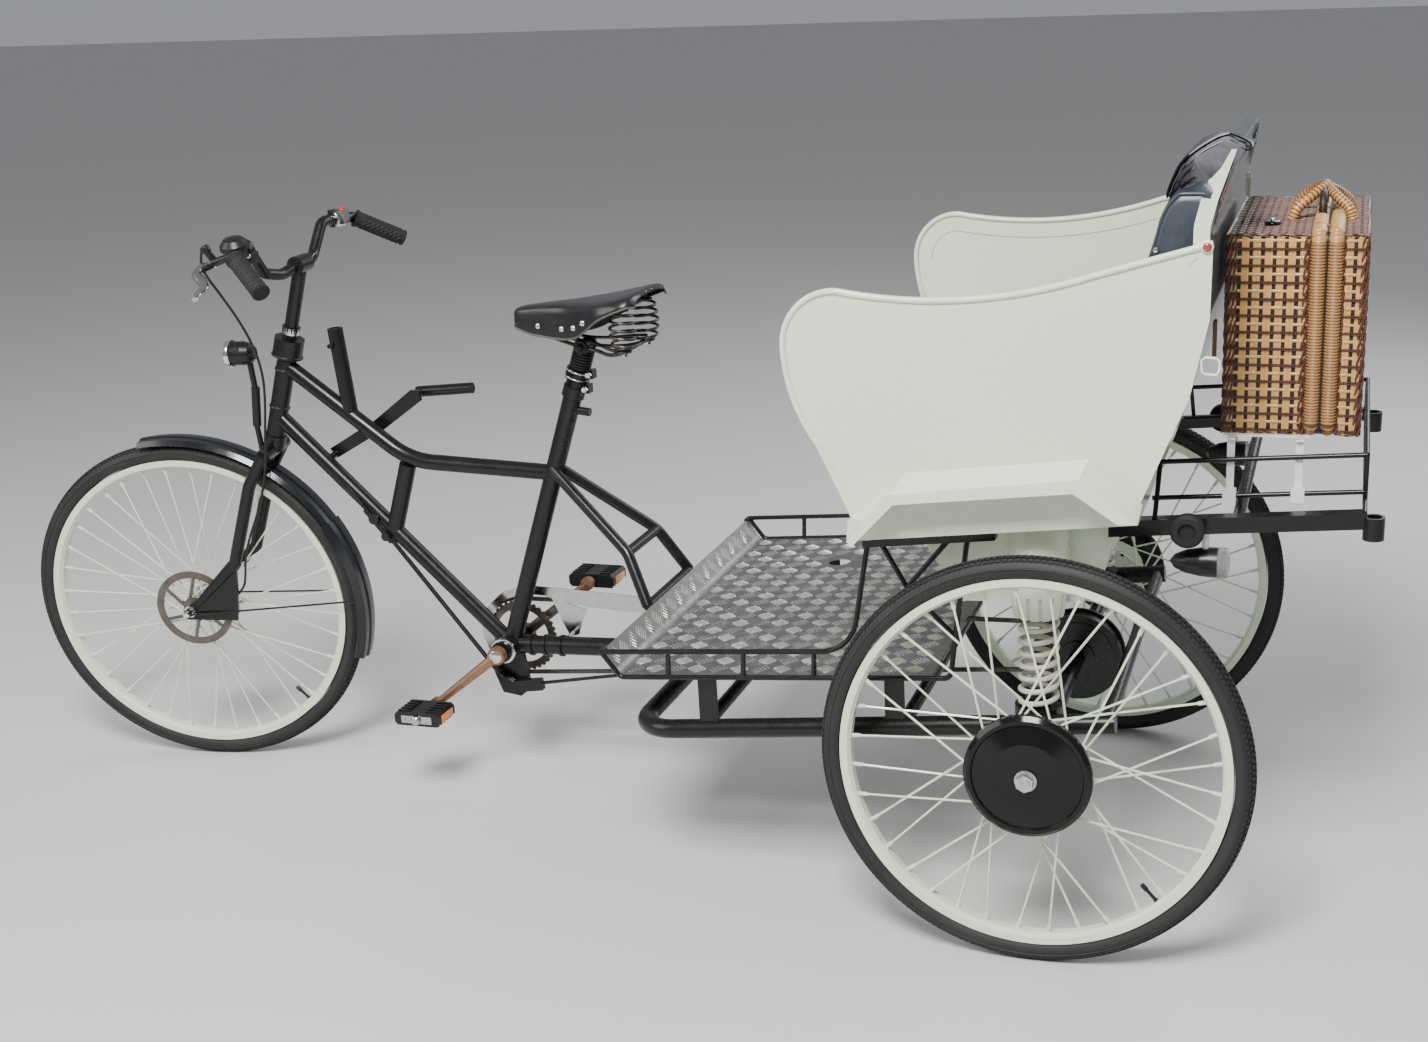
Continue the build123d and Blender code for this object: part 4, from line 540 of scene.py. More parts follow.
wheel_details("spoke_ends_rear_left", "rear_wheel_left", REAR_L, 124, 74, True)
wheel_details("spoke_ends_rear_right", "rear_wheel_right", REAR_R, 124, 74, True)
wheel_details("spoke_ends_front", "front_wheel", FRONT, 58, 62, False)
for node, sign in (("rear_wheel_left", 1), ("rear_wheel_right", -1)):
    def rear_paint(c, normal, s=sign):
        r = math.hypot(c.x, c.z - AXLE_Z)
        if c.y * s - WHEEL_Y > 33 and r < 106:
            return 1
        return 2 if r < 36 else 0
    repaint(node, ["gloss_black", "bare_steel"], rear_paint)


def front_paint(c, normal):
    q = fork_read(c)
    if 32.5 < q.y < 36:
        return 2
    r = math.hypot(q.x - FRONT_X, q.z - AXLE_Z)
    return 1 if r < 30.5 or (r < 84 and q.y > 32) else 0


nodes["front_wheel"].data.materials[0] = M["cream_rim"]
repaint("front_wheel", ["bare_steel", "rotor_steel"], front_paint)
t = Form(FRONT)
for s in (1, -1):
    t.lathe([(6, 55.2), (12.5, 55.2), (12.5, 56.8), (6, 57)], (0, 0, 0), (0, s, 0), 24, 0)
    t.lathe([(9.8, 56.8), (9.8, 64), (8.5, 64.8)], (0, 0, 0), (0, s, 0), 6, 0)
    t.lathe([(7.2, 64), (7.2, 74), (6, 76.5), (2, 77.5)], (0, 0, 0), (0, s, 0), 20, 0)
t.done("front_axle_nuts", "steering", "chrome", slot="chrome")


# Coil springs
COIL_TURNS, PER_TURN = 7, 28
COIL_X, COIL_Y, COIL_R = 12, 352, 30.5
COIL_LOW, COIL_HIGH = 408.0, 557.2
t = Form()
for s in (1, -1):
    pts = []
    for k in range(COIL_TURNS * PER_TURN + 1):
        a = 2 * pi * k / PER_TURN
        z = COIL_LOW + (COIL_HIGH - COIL_LOW) * k / (COIL_TURNS * PER_TURN)
        pts.append(P(COIL_X + COIL_R * math.cos(a), s * (COIL_Y + COIL_R * math.sin(a)), z))
    t.tube(pts, 4.6, 12)
t.done("coil_springs", "chassis", "spring_paint", ["springs"], "spring_paint", 60)


# Deck tread pattern
TREAD_CELL = 38.0
BAR_STEP, BAR_HALF_W, BAR_RISE = 6.3, 1.9, 1.5
DECK_X, DECK_HALF_Y, HALF_PLATE = 200, 386, 1.5
DECK_FRONT_X, DECK_FRONT_Z, DECK_SLOPE = 742, 416, math.radians(4)


def deck_height(x):
    return DECK_FRONT_Z + (DECK_FRONT_X - x) * math.tan(DECK_SLOPE) + HALF_PLATE


def tread(t, place, wide, long, skip=None):
    """Groups of five bars, turned by turns, over a surface whose point at (u, v) is place(u, v, height)."""
    nu, nv = round(long / TREAD_CELL), round(wide / TREAD_CELL)
    for i in range(nu):
        for j in range(nv):
            cu, cv = (i + 0.5) * long / nu, (j + 0.5) * wide / nv
            if skip and skip(cu, cv):
                continue
            turn = math.radians(45 if (i + j) % 2 else -45)
            ux, uy = math.cos(turn), math.sin(turn)
            for k in range(-2, 3):
                mx, my = cu - uy * k * BAR_STEP, cv + ux * k * BAR_STEP
                half = 14.8 if abs(k) < 2 else 12.4
                low = t.ring([place(mx + ux * a * half - uy * b * BAR_HALF_W,
                                    my + uy * a * half + ux * b * BAR_HALF_W, -0.1)
                              for a, b in ((-1, 0), (-0.6, -1), (0.6, -1), (1, 0), (0.6, 1), (-0.6, 1))])
                p, q = t.ring([place(mx + ux * a * half * 0.62, my + uy * a * half * 0.62, BAR_RISE) for a in (-1, 1)])
                for f in ((0, 1, p), (1, 2, q, p), (2, 3, q), (3, 4, q), (4, 5, p, q), (5, 0, p)):
                    t.f.append(tuple(low[e] if n < 2 else e for n, e in enumerate(f)))
                    t.m.append(0)


t = Form()
tread(t, lambda u, v, h: P(DECK_X + u, v - DECK_HALF_Y, deck_height(DECK_X + u) + h), 2 * DECK_HALF_Y, 546,
      lambda u, v: math.hypot(DECK_X + u - 520, v - DECK_HALF_Y + 228) < 40)
tread(t, lambda u, v, h: P(751.5 + 0.5 * u - 1.8 - h, v - DECK_HALF_Y, 424 + 0.866 * u + h * 0.5), 2 * DECK_HALF_Y, 41)
# The raised bars take the near-white painted highlight metal; the plate between them stays darker
t.done("deck_tread", "chassis", "tread_bar", slot="chequer_plate", angle=20)


# Saddle
RIVETS = ((1016, 957), (962, 955), (932, 960), (906, 972))
BACK_RIVETS = ((-70, 812), (-42, 804), (-14, 801), (14, 801), (42, 804), (70, 812))
LEATHER_T = 3.5
sections = [(798, 1019, 78, 10), (806, 1023, 92, 12), (822, 1021, 99, 15), (845, 1016, 98, 19), (870, 1011, 92, 26),
            (900, 1006, 76, 42), (925, 1003, 62, 54), (955, 999, 47, 57), (985, 996, 38, 54), (1012, 993, 31, 49),
            (1036, 990, 27, 43), (1056, 987, 23, 34), (1068, 983, 18, 26), (1074, 977, 10, 18)]
line = smooth_line([s[:3] for s in sections], 4)
drops = smooth_line([(s[3], 0, 0) for s in sections], 4)
t = Form()
outer, inner = [], []
for q, dr in zip(line, drops):
    x, z, half, drop = q.x, q.y, q.z, dr.x
    prof = []
    for k in range(-16, 17):
        u = k / 16
        if abs(u) < 0.7:
            a = u / 0.7
            prof.append((half * 0.94 * math.sin(a * pi / 2 * 0.92) / math.sin(pi / 2 * 0.92),
                         3.0 - 10.5 * abs(a) ** 2.6))
        else:
            a = (abs(u) - 0.7) / 0.3
            prof.append((math.copysign(half * (0.94 + 0.06 * math.sin(a * pi * 0.6)), u), -7.5 - (drop - 1.5) * a))
    outer.append(t.ring([P(x, y, z + h) for y, h in prof]))
    row = []
    for y, h in prof:
        pull = math.copysign(min(LEATHER_T, abs(y)), y) * (1 if abs(y) > half * 0.5 else 0.4)
        row.append(P(x, y - pull, z + h - (LEATHER_T if abs(y) < half * 0.9 else 0.0)))
    inner.append(t.ring(row))
t.grid(outer, 0)
t.grid(inner, 0)
for a, b in zip(zip(outer, outer[1:]), zip(inner, inner[1:])):
    for e in (0, -1):
        t.f.append((a[0][e], a[1][e], b[1][e], b[0][e]))
        t.m.append(0)
for e in (0, -1):
    for k in range(32):
        t.f.append((outer[e][k], outer[e][k + 1], inner[e][k + 1], inner[e][k]))
        t.m.append(0)
edges = [[t.v[r[e]] for r in outer] for e in (0, -1)]
for edge in edges:
    t.tube(edge, 2.1, 8, 1)
for s in (1, -1):
    for x, z in RIVETS:
        w = next(q.z for q in reversed(line) if q.x <= x + 2)
        t.lathe([(6, 0), (5.4, 1.6), (3, 2.8)], P(x, s * (w + 0.3), z), (0.2, s, 0.03), 14, 2)
for y, x in BACK_RIVETS:
    t.lathe([(6.2, 0), (5.6, 1.8), (3, 3)], P(x + 3, y, 1023 - 0.09 * abs(y)), (-0.3, 0, 1), 14, 2)
t.done("saddle_top", "chassis", ["saddle_leather", "pale_edge", "chrome"], ["saddle"], "saddle_leather", 50)


# Grips with a diamond pattern
GA, GB = Vector((1524, 236, 1119.5)), Vector((1448, 294, 1067.5))
for s, label in ((1, "left"), (-1, "right")):
    t = Form(BAR if s > 0 else BAR @ FLIP)
    d = (GB - GA).normalized()
    place = along(P(*(GA + d * 6)), d)
    length = ((GB - GA).length + 5.5 - 6) / 1000
    rows = []
    n, steps = 48, 84
    for i in range(steps + 1):
        h = length * i / steps
        base = 0.0150
        if h < 0.005:
            base = 0.0184
        elif h < 0.010:
            base = 0.0165
        elif h > length - 0.005:
            base = 0.0172 if h < length - 0.0015 else 0.0150
        patt = 0.0017 if 0.012 < h < length - 0.010 else 0.0
        row = []
        for an in angles(n):
            bump = abs(math.sin(an * 5 + h * 330 + 0.8 * math.sin(an * 10))) * abs(math.sin(an * 5 - h * 330))
            r = base + patt * (1 if bump > 0.25 else 0) * min(1, (bump - 0.25) * 4)
            row.append(place @ Vector((r * math.cos(an), r * math.sin(an), h)))
        rows.append(t.ring(row))
    t.grid(rows, 0, True)
    t.cap(rows[-1], 0)
    hole = t.ring([place @ Vector((0.0112 * math.cos(a), 0.0112 * math.sin(a), 0)) for a in angles(n)])
    t.bridge(hole, rows[0], 0)
    t.done("grip_" + label, "steering", "grip_rubber", ["grips"], "grip_rubber", 40)


# Lamp rims and lenses
LAMP = P(1648, 0, 888.5), (1, 0, 0)
t = Form(STEER)
t.lathe([(26.2, 45.5), (27.2, 47), (27.2, 54.5), (24.5, 56), (23.5, 54.8)], *LAMP, 40, 0, ends=False)
t.lathe([(23.6, 54.5), (20, 57.2), (12, 59), (0.5, 59.7)], *LAMP, 40, 1, ends=False)
t.lathe([(22.5, 51.2), (0.5, 50.8)], *LAMP, 32, 2, ends=False)
t.done("headlamp_lens", "steering", ["chrome", "clear_lens", "lens_back"], slot="chrome")
t = Form()
for s in (1, -1):
    prof = [(24, 0)]
    for k in range(7):
        prof += [(24.5, 1 + k * 2), (23.6, 2 + k * 2)]
    prof += [(22, 16.5), (12, 18.5), (0.6, 19)]
    t.lathe(prof, P(-272, s * 338, 660), (-1, 0, 0), 36, 0, ends=False)
t.done("rear_lamp_rings", "chassis", "clear_lens", slot="chrome")


# Pedal reflectors and plates
CRANK_R, CRANK_TURN = 180.0, math.radians(218)
for s, side in ((1, "left"), (-1, "right")):
    c = Vector((BB_X - s * CRANK_R * math.cos(CRANK_TURN), s * 128, BB_Z + s * CRANK_R * math.sin(CRANK_TURN)))
    t = Form()
    for e in (1, -1):
        t.box(P(c.x + e * 49.6, c.y, c.z), (3, 44, 15), 0)
    t.box(P(c.x, c.y + s * 34, c.z), (66, 2.4, 16), 1)
    t.lathe([(9.5, 0), (9.5, 6), (7, 8)], P(c.x, c.y + s * 35, c.z), (0, s, 0), 20, 1)
    for e in (-26, 26):
        t.lathe([(3.5, 0), (3, 1.6), (1, 2)], P(c.x + e, c.y + s * 35.2, c.z), (0, s, 0), 12, 1)
    t.done("pedal_trim_" + side, "pedal_" + side, ["amber_lens", "guard_metal"], slot="black_plastic", bevel=0.0006)
    t = Form()
    for e in (1, -1):
        for k in range(5):
            for up in (1, -1):
                t.box(P(c.x + e * 30, c.y + (k - 2) * 12, c.z + up * 14.8), (26, 5, 2.8), 0)
    t.done("pedal_tread_" + side, "pedal_" + side, "black_plastic", slot="black_plastic", bevel=0.0006)
t = Form()
t.lathe([(13.5, 0), (13.5, 1.5), (12.5, 1.8), (12.5, 3), (9.5, 4.5), (1, 4.8)], P(BB_X, 76, BB_Z), (0, 1, 0), 28, 0)
t.done("crank_cap", "crankset", "chrome", slot="chrome")
t = Form()
t.lathe([(9, 36), (24.5, 36), (26.2, 38), (26.2, 43), (24.5, 45), (20, 45.5)], P(BB_X, 0, BB_Z), (0, 1, 0), 32, 0)
t.lathe([(22, 44.5), (22, 51), (19.5, 54), (12, 55.5)], P(BB_X, 0, BB_Z), (0, 1, 0), 32, 1)
t.done("bottom_bracket_rings", "chassis", ["chrome", "gloss_black"], slot="bare_steel")


# Wicker
def weave(t, origin, u, v, normal, width, height, seed, pitch=17.0, row=13.2, tones=(0, 0, 2)):
    """Flat canes along v, crossed by turns by a flat cane and by a pair of thin rods."""
    rng = random.Random(seed)
    o, u, v, nrm = Vector(origin), Vector(u), Vector(v), Vector(normal)
    nc, nr = max(2, round(width / pitch)), max(2, round(height / row))
    pu, pv = width / nc, height / nr
    amp = 1.1
    base, band, rods = tones
    for i in range(nc):
        x = (i + 0.5) * pu + rng.uniform(-0.4, 0.4)
        wide = pu * 0.335 * rng.uniform(0.93, 1.06)
        pts = [o + (u * (x + rng.uniform(-0.2, 0.2)) + v * (j * pv / 2)
                    + nrm * (1.6 + amp * math.sin(pi * (j / 2 + i + 0.5)))) / 1000 for j in range(2 * nr + 1)]
        for e in (-0.5, 0.5):
            t.tube([p + u * (e * wide / 1000) for p in pts], 1, 5, base if rng.random() > 0.12 else band,
                   flat=(wide * 0.56, 0.95), start=u)
    for j in range(nr):
        dark = j % 2 == 0
        lift = (3.0, 0.45) if dark else (1.4, amp * 1.15)
        for e in ((-1, 1) if dark else (0,)):
            pts = [o + (u * (i * pu / 2) + v * ((j + 0.5) * pv + e * 1.35 + rng.uniform(-0.2, 0.2))
                        + nrm * (lift[0] - lift[1] * math.sin(pi * (i / 2 + j)))) / 1000 for i in range(2 * nc + 1)]
            t.tube(pts, 1, 5, rods if dark else band, flat=(1.05, 1.05) if dark else (0.9, 2.5), start=nrm)


def edge_braid(t, pts, r=3.2):
    """Two thin rods twisted round each other along an edge."""
    line = []
    pts = [Vector(p) for p in pts]
    for a, b in zip(pts, pts[1:]):
        n = max(2, int((b - a).length * 1000 / 4))
        line += [a + (b - a) * (k / n) for k in range(n)]
    line.append(pts[-1])
    for ph in (0, pi):
        out = []
        for k, p in enumerate(line):
            d = (line[min(k + 1, len(line) - 1)] - line[max(k - 1, 0)]).normalized()
            a = d.orthogonal().normalized()
            b = d.cross(a)
            w = k * 0.55 + ph
            out.append(p + (a * math.cos(w) + b * math.sin(w)) * (r * 0.62 / 1000))
        t.tube(out, r * 0.62, 6, 2)


# The hamper: front face, foot, height, half width, and the depth of its base and of its lid
HX, HZ, HH, HY, HD, LD = -265.0, 847.0, 312.0, 235.0, 150.0, 60.0
LID_X = HX - HD - 0.6
RIM_ROLL_R = 12.3


def hamper_part(name, body, x_a, x_b, closed_x, seed):
    """x_a is the front of the woven part and x_b its back; closed_x has the big flat face."""
    t = Form()
    w = x_a - x_b
    for s in (1, -1):
        weave(t, P(x_a, s * HY, HZ), (-1, 0, 0), (0, 0, 1), (0, s, 0), w, HH, seed + s)
    weave(t, P(x_a, -HY, HZ + HH), (-1, 0, 0), (0, 1, 0), (0, 0, 1), w, 2 * HY, seed + 5, 13.0, 10.0, (1, 1, 2))
    out = 1 if closed_x == x_a else -1
    weave(t, P(closed_x, -HY, HZ), (0, 1, 0), (0, 0, 1), (out, 0, 0), 2 * HY, HH, seed + 9)
    for s in (1, -1):
        for x in (x_a, x_a - 6, x_a - 12, x_b, x_b + 6) if w > 60 else (x_a, x_b, x_b + 6):
            edge_braid(t, [P(x, s * (HY + 1.5), HZ + 2), P(x, s * (HY + 1.5), HZ + HH + 1)], 3.3)
        edge_braid(t, [P(x_a, s * HY, HZ + HH + 1), P(x_b, s * HY, HZ + HH + 1)])
        edge_braid(t, [P(x_a, s * HY, HZ + 2), P(x_b, s * HY, HZ + 2)])
    for z in (HZ + 1, HZ + HH + 1):
        edge_braid(t, [P(closed_x, -HY, z), P(closed_x, HY, z)])
    t.done(name, body, ["cane", "cane_dark", "cane_red"], slot="wicker", angle=60)


hamper_part("hamper_weave", "chassis", HX - 1, HX - HD + 25, HX - 1, 11)
hamper_part("hamper_lid_weave", "hamper_lid", LID_X - 25, LID_X - LD, LID_X - LD, 31)


def wrapped_rim(name, body, x):
    """A rim roll wound with split cane, all round the mouth."""
    t = Form()
    y1, z0, z1, c = HY + 3.0, HZ + 9.5, HZ + HH + 3.0, 9.0
    corners = [(-y1 + c, z0), (y1 - c, z0), (y1, z0 + c), (y1, z1 - c), (y1 - c, z1), (-y1 + c, z1),
               (-y1, z1 - c), (-y1, z0 + c)]
    line = []
    for p, q in zip(corners, corners[1:] + corners[:1]):
        a, b = Vector((x, *p)), Vector((x, *q))
        k = max(2, int((b - a).length / 1.6))
        line += [a + (b - a) * (q / k) for q in range(k)]
    if len(line) % 2:
        line.pop()
    line = line[:len(line) // 3 * 3]
    radii = [RIM_ROLL_R * (0.88, 1.0, 1.0)[k % 3] for k in range(len(line))]
    t.tube([P(*p) for p in line], radii, 16, 0, loop=True)
    # Every third band, sloping into the narrow ring, takes the painted shade of the groove between windings
    for k in range(2, len(line), 3):
        t.m[16 * k:16 * k + 16] = [1] * 16
    t.done(name, body, ["cane_wrap", "cane_groove_painted_shade"], slot="wicker", angle=80)


wrapped_rim("hamper_rim", "chassis", HX - HD + 12.6)
wrapped_rim("hamper_lid_rim", "hamper_lid", LID_X - 12.6)


# Hamper handles, latch and straps
HANDLE_Z = HZ + HH + 8


def handle(name, body, foot, apex, rise, half):
    """A wound loop that leans from its feet on one half to the middle of the rims."""
    t = Form()
    m = (foot + apex) / 2
    low, high = foot + (m - foot) * 0.4, m + (apex - m) * 0.3
    steps = [(foot, -half, -10), (low, -half + 2, rise * 0.30), (high, -half * 0.72, rise * 0.74),
             (apex, -half * 0.25, rise)]
    steps += [(x, -y, z) for x, y, z in reversed(steps)]
    arc = smooth_line([P(x, y, HANDLE_Z + z) for x, y, z in steps], 14)
    arc = arc[:len(arc) // 3 * 3]
    t.tube(arc, [8.8 * (0.86, 1.0, 1.0)[k % 3] for k in range(len(arc))], 12, 0)
    # Every third band, sloping into the narrow ring, takes the painted shade of the groove between windings
    for k in range(2, len(arc) - 1, 3):
        t.m[12 * k:12 * k + 12] = [1] * 12
    t.done(name, body, ["cane_wrap", "cane_groove_painted_shade"], slot="wicker", angle=70)


handle("hamper_handle", "chassis", HX - 88, HX - 138, 42, 62)
handle("hamper_lid_handle", "hamper_lid", HX - 186, HX - 146, 37, 54)
t = Form()
for s in (1, -1):
    t.box(P(HX - HD + 4, s * 190, HANDLE_Z + 1.5), (30, 16, 3), 0)
    t.lathe([(7, 0), (7, 3), (3, 5)], P(HX - HD + 12, s * 190, HANDLE_Z + 3), (0, 0, 1), 14, 1)
t.x = Matrix.Translation(P(HX - 62, 120, HZ + HH + 5)) @ Matrix.Diagonal((1, 1.9, 1, 1))
t.lathe([(13, -3), (13.5, 2), (12, 4.5), (4, 5.2)], (0, 0, 0), (0, 0, 1), 28, 2)
t.x = Matrix.Identity(4)
t.lathe([(4, 0), (3.5, 3), (1, 4)], P(HX - 62, 120, HZ + HH + 9.5), (0, 0, 1), 12, 3)
t.done("hamper_fittings", "chassis", ["brown_leather", "brass", "gloss_black", "chrome"], slot="black_plastic",
       angle=70)


# Cushions
def pad(name, node, prof, half, top, seed):
    """A stuffed cushion with a seam across its middle and piping near its ends; top(y) is how high it may reach."""
    t = Form()
    line = smooth_line([(x, 0, z) for x, z in prof], 5, True)
    mid = sum(line, Vector()) / len(line)
    n = 96
    rows, edge = [], {}
    for i in range(n + 1):
        y = half * math.sin((i / n - 0.5) * pi * 0.999)
        y = 0.55 * y + 0.45 * half * (2 * i / n - 1)
        e = max(0.0, (abs(y) - (half - 20)) / 20)
        shrink = 1 - 0.14 * (1 - math.sqrt(max(0.0, 1 - e * e)))
        row = []
        for q in line:
            d = (q - mid).normalized()
            w = -1.8 + 1.8 * noise.noise(Vector((q.x * 0.014, y * 0.010 + seed, q.z * 0.014)))
            w += 0.9 * noise.noise(Vector((q.x * 0.05, y * 0.045, q.z * 0.05 + seed))) * (1 + 2 * e)
            w -= 6.0 * math.exp(-(y / 6.0) ** 2)
            p = mid + (q - mid) * shrink + d * w
            z = min(p.z, top(y) - 0.5 + 0.15 * (p.z - top(y))) if top and p.z > top(y) else p.z
            row.append(P(p.x, y, z))
        rows.append(t.ring(row))
        # The piping lies on one row near each end
        for s in (1, -1):
            if s not in edge and s * y <= -(half - 9) or (s == -1 and abs(y - (half - 9)) < 6):
                edge[s] = row
    t.grid(rows, 0, True)
    t.cap(rows[0], 0, True)
    t.cap(rows[-1], 0)
    for row in edge.values():
        t.tube(row, 3.2, 8, 0, loop=True)
    t.tube([P(q.x, 0, q.z) for q in (mid + (p - mid) * 0.985 for p in line)], 1.2, 6, 1, loop=True)
    ob = t.done(name, "chassis", ["seat_vinyl", "gloss_black"], [node], "seat_vinyl", 60)


tip = math.radians(6)
box = [(-194, -14), (-196, 8), (-180, 30), (-120, 33), (0, 34), (120, 33), (178, 31), (197, 12), (197, -14),
       (180, -33), (0, -34), (-180, -33)]
pad("seat_cushion_soft", "seat_cushion",
    [(74 + x * math.cos(tip) + z * math.sin(tip), 795.2 - x * math.sin(tip) + z * math.cos(tip)) for x, z in box],
    442.5, None, 3)
pad("back_cushion_soft", "back_cushion",
    [(-172, 888), (-208, 958), (-236, 1066), (-238, 1150), (-246, 1206), (-254, 1250), (-222, 1262), (-192, 1240),
     (-168, 1170), (-142, 1082), (-130, 960), (-121, 888)], 441.0,
    lambda y: min(1266 - 44 * min(1.0, max(0.0, (205 - y) / 70)), 1246 + 0.34 * (442 - y)), 9)


# Folded cover over the back, kept inside the cut corner of its flange
COVER_Y, COVER_W = 188, 240


def tuck(x, y, z):
    t = min(1.0, max(0.0, (-x - 215) / 45))
    limit = COVER_Y + COVER_W - t * (2.95 * max(0.0, z - 1236) + 4)
    return COVER_Y + (y - COVER_Y) * (limit - COVER_Y) / COVER_W


fold = smooth_line([(x, 0, z) for x, z in (
    (-190, 1243), (-191, 1252), (-196, 1268), (-206, 1290), (-222, 1305), (-246, 1313), (-272, 1309), (-294, 1301),
    (-298, 1296), (-288, 1293), (-262, 1304), (-238, 1302), (-218, 1290), (-202, 1268), (-196, 1252), (-193, 1246),
    (-197, 1248), (-205, 1260), (-216, 1276), (-238, 1290), (-262, 1296), (-268, 1290), (-250, 1280), (-224, 1268),
    (-208, 1258))], 6)
t = Form()
rows = []
STEPS = 56
for i in range(STEPS + 1):
    y = COVER_Y + COVER_W * i / STEPS
    row = []
    for k, q in enumerate(fold):
        d = (fold[min(k + 1, len(fold) - 1)] - fold[max(k - 1, 0)]).normalized()
        nrm = Vector((d.z, 0, -d.x))
        w = 3.0 * noise.noise(Vector((k * 0.05, y * 0.02, 3)))
        w += 2.2 * math.sin(y * 0.045 + k * 0.11) * noise.noise(Vector((y * 0.012, k * 0.03, 8)))
        w *= 1.0 if k < 48 else 0.35
        slide = 3.5 * noise.noise(Vector((y * 0.02, k * 0.02, 5)))
        row.append(P(q.x + nrm.x * w, tuck(q.x, y, q.z) + slide, q.z + nrm.z * w - 1.0))
    rows.append(t.ring(row))
t.grid(rows)
hem = Form()
hem.tube([t.v[k] for k in rows[-1]], 1.6, 6, 0)
hem.tube([t.v[r[0]] for r in rows], 1.6, 6, 0)
cover = t.done("back_cover_folds", "chassis", "cover_cloth", ["back_cover"], "cover_cloth", 60, thick=0.0014)
hem = hem.done("back_cover_hem", "chassis", "gloss_black", slot="cover_cloth")
# What the folds lie over, as one closed form
t = Form()
inner = smooth_line([(x, 0, z) for x, z in (
    (-190, 1240), (-192, 1252), (-198, 1268), (-208, 1287), (-224, 1302), (-248, 1309), (-272, 1305), (-289, 1296),
    (-282, 1278), (-262, 1258), (-240, 1256), (-214, 1250), (-202, 1240), (-194, 1234))], 5, True)
mid = sum(inner, Vector()) / len(inner)
rows = []
for i in range(STEPS + 1):
    y = 193 + 233 * i / STEPS
    e = max(0.0, (abs(y - 309.5) - 110) / 7)
    shrink = 0.985 - 0.09 * (1 - math.sqrt(max(0.0, 1 - e * e)))
    row = []
    for k, q in enumerate(inner):
        w = 1.6 * noise.noise(Vector((q.x * 0.05, y * 0.03, q.z * 0.05)))
        w += 1.3 * math.sin(k * 0.55 + 2.2 * noise.noise(Vector((0, y * 0.02, 4)))) - 1.2
        p = mid + (q - mid) * shrink + (q - mid).normalized() * w
        row.append(P(p.x, tuck(p.x, y, p.z), p.z))
    rows.append(t.ring(row))
t.grid(rows, 0, True)
t.cap(rows[0], 0, True)
t.cap(rows[-1], 0)
bunch = t.done("back_cover_inner", "chassis", "cover_cloth", slot="cover_cloth", angle=60)


# More paints on the CAD pieces
def axle_paint(c, n):
    if abs(c.y) > 545:
        return 0
    return 2 if -54 < c.y < -46 and math.hypot(c.x, c.z - AXLE_Z) > 36 else 1


repaint("rear_axle", ["black_paint", "rusty_steel"], axle_paint)
for node, paint in (("brake_rods", "black_paint"), ("front_mudguard", "guard_black"), ("chain_guard", "guard_metal"),
                    ("saddle", "saddle_leather"), ("controls", "black_plastic")):
    nodes[node].data.materials[0] = M[paint]


def control_paint(c, n):
    q = bar_read(c)
    if q.y > 0:
        return 1 if q.z < 1090 and q.y > 208 else 0
    if q.z > 1143:
        return 2
    return 1 if q.x < 1531 else 0


repaint("controls", ["chrome", "red_plastic"], control_paint)


def head_s(q):
    """How far up the steering axis a place lies."""
    return (q.x - HEAD_X) * -math.sin(LEAN) + (q.z - HEAD_Z) * math.cos(LEAN)


repaint("handlebar", ["chrome"], lambda c, n: 1 if head_s(bar_read(c)) < 14 else 0)
repaint("rear_lamps", ["white_metal"], lambda c, n: 1 if c.z > 684 and abs(c.x + 252) < 8 else 0)


def back_paint(c, n):
    """Grey painted shade and painted reflection behind, on the rear face whose own paint is cream; vinyl on the front
    face and the middle of the top flange.
    """
    if n.x < -0.5:
        return 1
    front, flange = n.x > 0.5 and abs(c.y) < 430, n.z > 0.4 and abs(c.y) < 275
    return 2 if c.z > 1000 and (front or flange) else 0


repaint("tub_back", ["back_painted_shade", "seat_vinyl"], back_paint)
repaint("crankset", ["rotor_steel"],
        lambda c, n: 1 if -82 < c.y < -20 and math.hypot(c.x - BB_X, c.z - BB_Z) < 150 else 0)


# Small fittings
t = Form()
e = HEAD_AXIS.orthogonal().normalized()
g = HEAD_AXIS.cross(e)
for s, r in ((-70, 0.0192), (-150, 0.0192), (-40, 0.0295)):
    o = HEAD + HEAD_AXIS * (s / 1000)
    t.tube([o + (e * math.cos(a) + g * math.sin(a)) * r for a in angles(40)], 1.3, 6, 0, loop=True, flat=(0.8, 2.2))
t.done("cable_ties", "chassis", "black_plastic", slot="black_plastic")
t = Form()
for s in (1, -1):
    t.lathe([(7, 0), (7, 2.2), (5.6, 4), (3, 4.8)], P(-251, s * 452, 1174), (0, s, 0), 24, 0)
    t.lathe([(8.8, -0.5), (8.8, 1.4), (7, 2.2)], P(-251, s * 451.6, 1174), (0, s, 0), 24, 1)
    t.lathe([(4.2, 0), (3.6, 2), (1, 3)], P(-176, s * 442.5, 1168), (0, s, 0), 14, 2)
    ring = [P(x, s * 447, z) for x, z in ((-247, 1008), (-252, 1012), (-268, 1011), (-273, 1006), (-273, 992),
                                          (-268, 986), (-252, 987), (-247, 991))]
    t.tube(ring, 2.2, 8, 1, loop=True)
    t.box(P(-254, s * 300, 1010), (5, 26, 58), 3)
    low, high = P(-266.5, s * 436, 1238), P(-278.8, s * 290, 1291)
    mid = (low + high) / 2
    run = (high - low).normalized()
    face = Vector((-1, 0, -0.2526)).normalized()
    side = run.cross(face).normalized()
    rot = Matrix((side, run, face)).transposed().to_4x4()
    inset = side * (0.024 if side.dot(Vector((0, -s, -1))) > 0 else -0.024)
    t.box(mid + inset, (40, (high - low).length * 1000 - 12, 1.6), 4, rot)
    for k in range(7):
        o = low + run * (0.016 + k * ((high - low).length - 0.032) / 6) + inset
        t.lathe([(4.2, 0), (4.2, 1), (2, 1.6)], o + face * 0.0008, face, 12, 2)
t.done("body_fittings", "chassis", ["red_lens", "white_metal", "chrome", "brown_leather", "dark_strip"],
       slot="white_metal")


ARC_STEPS = 14


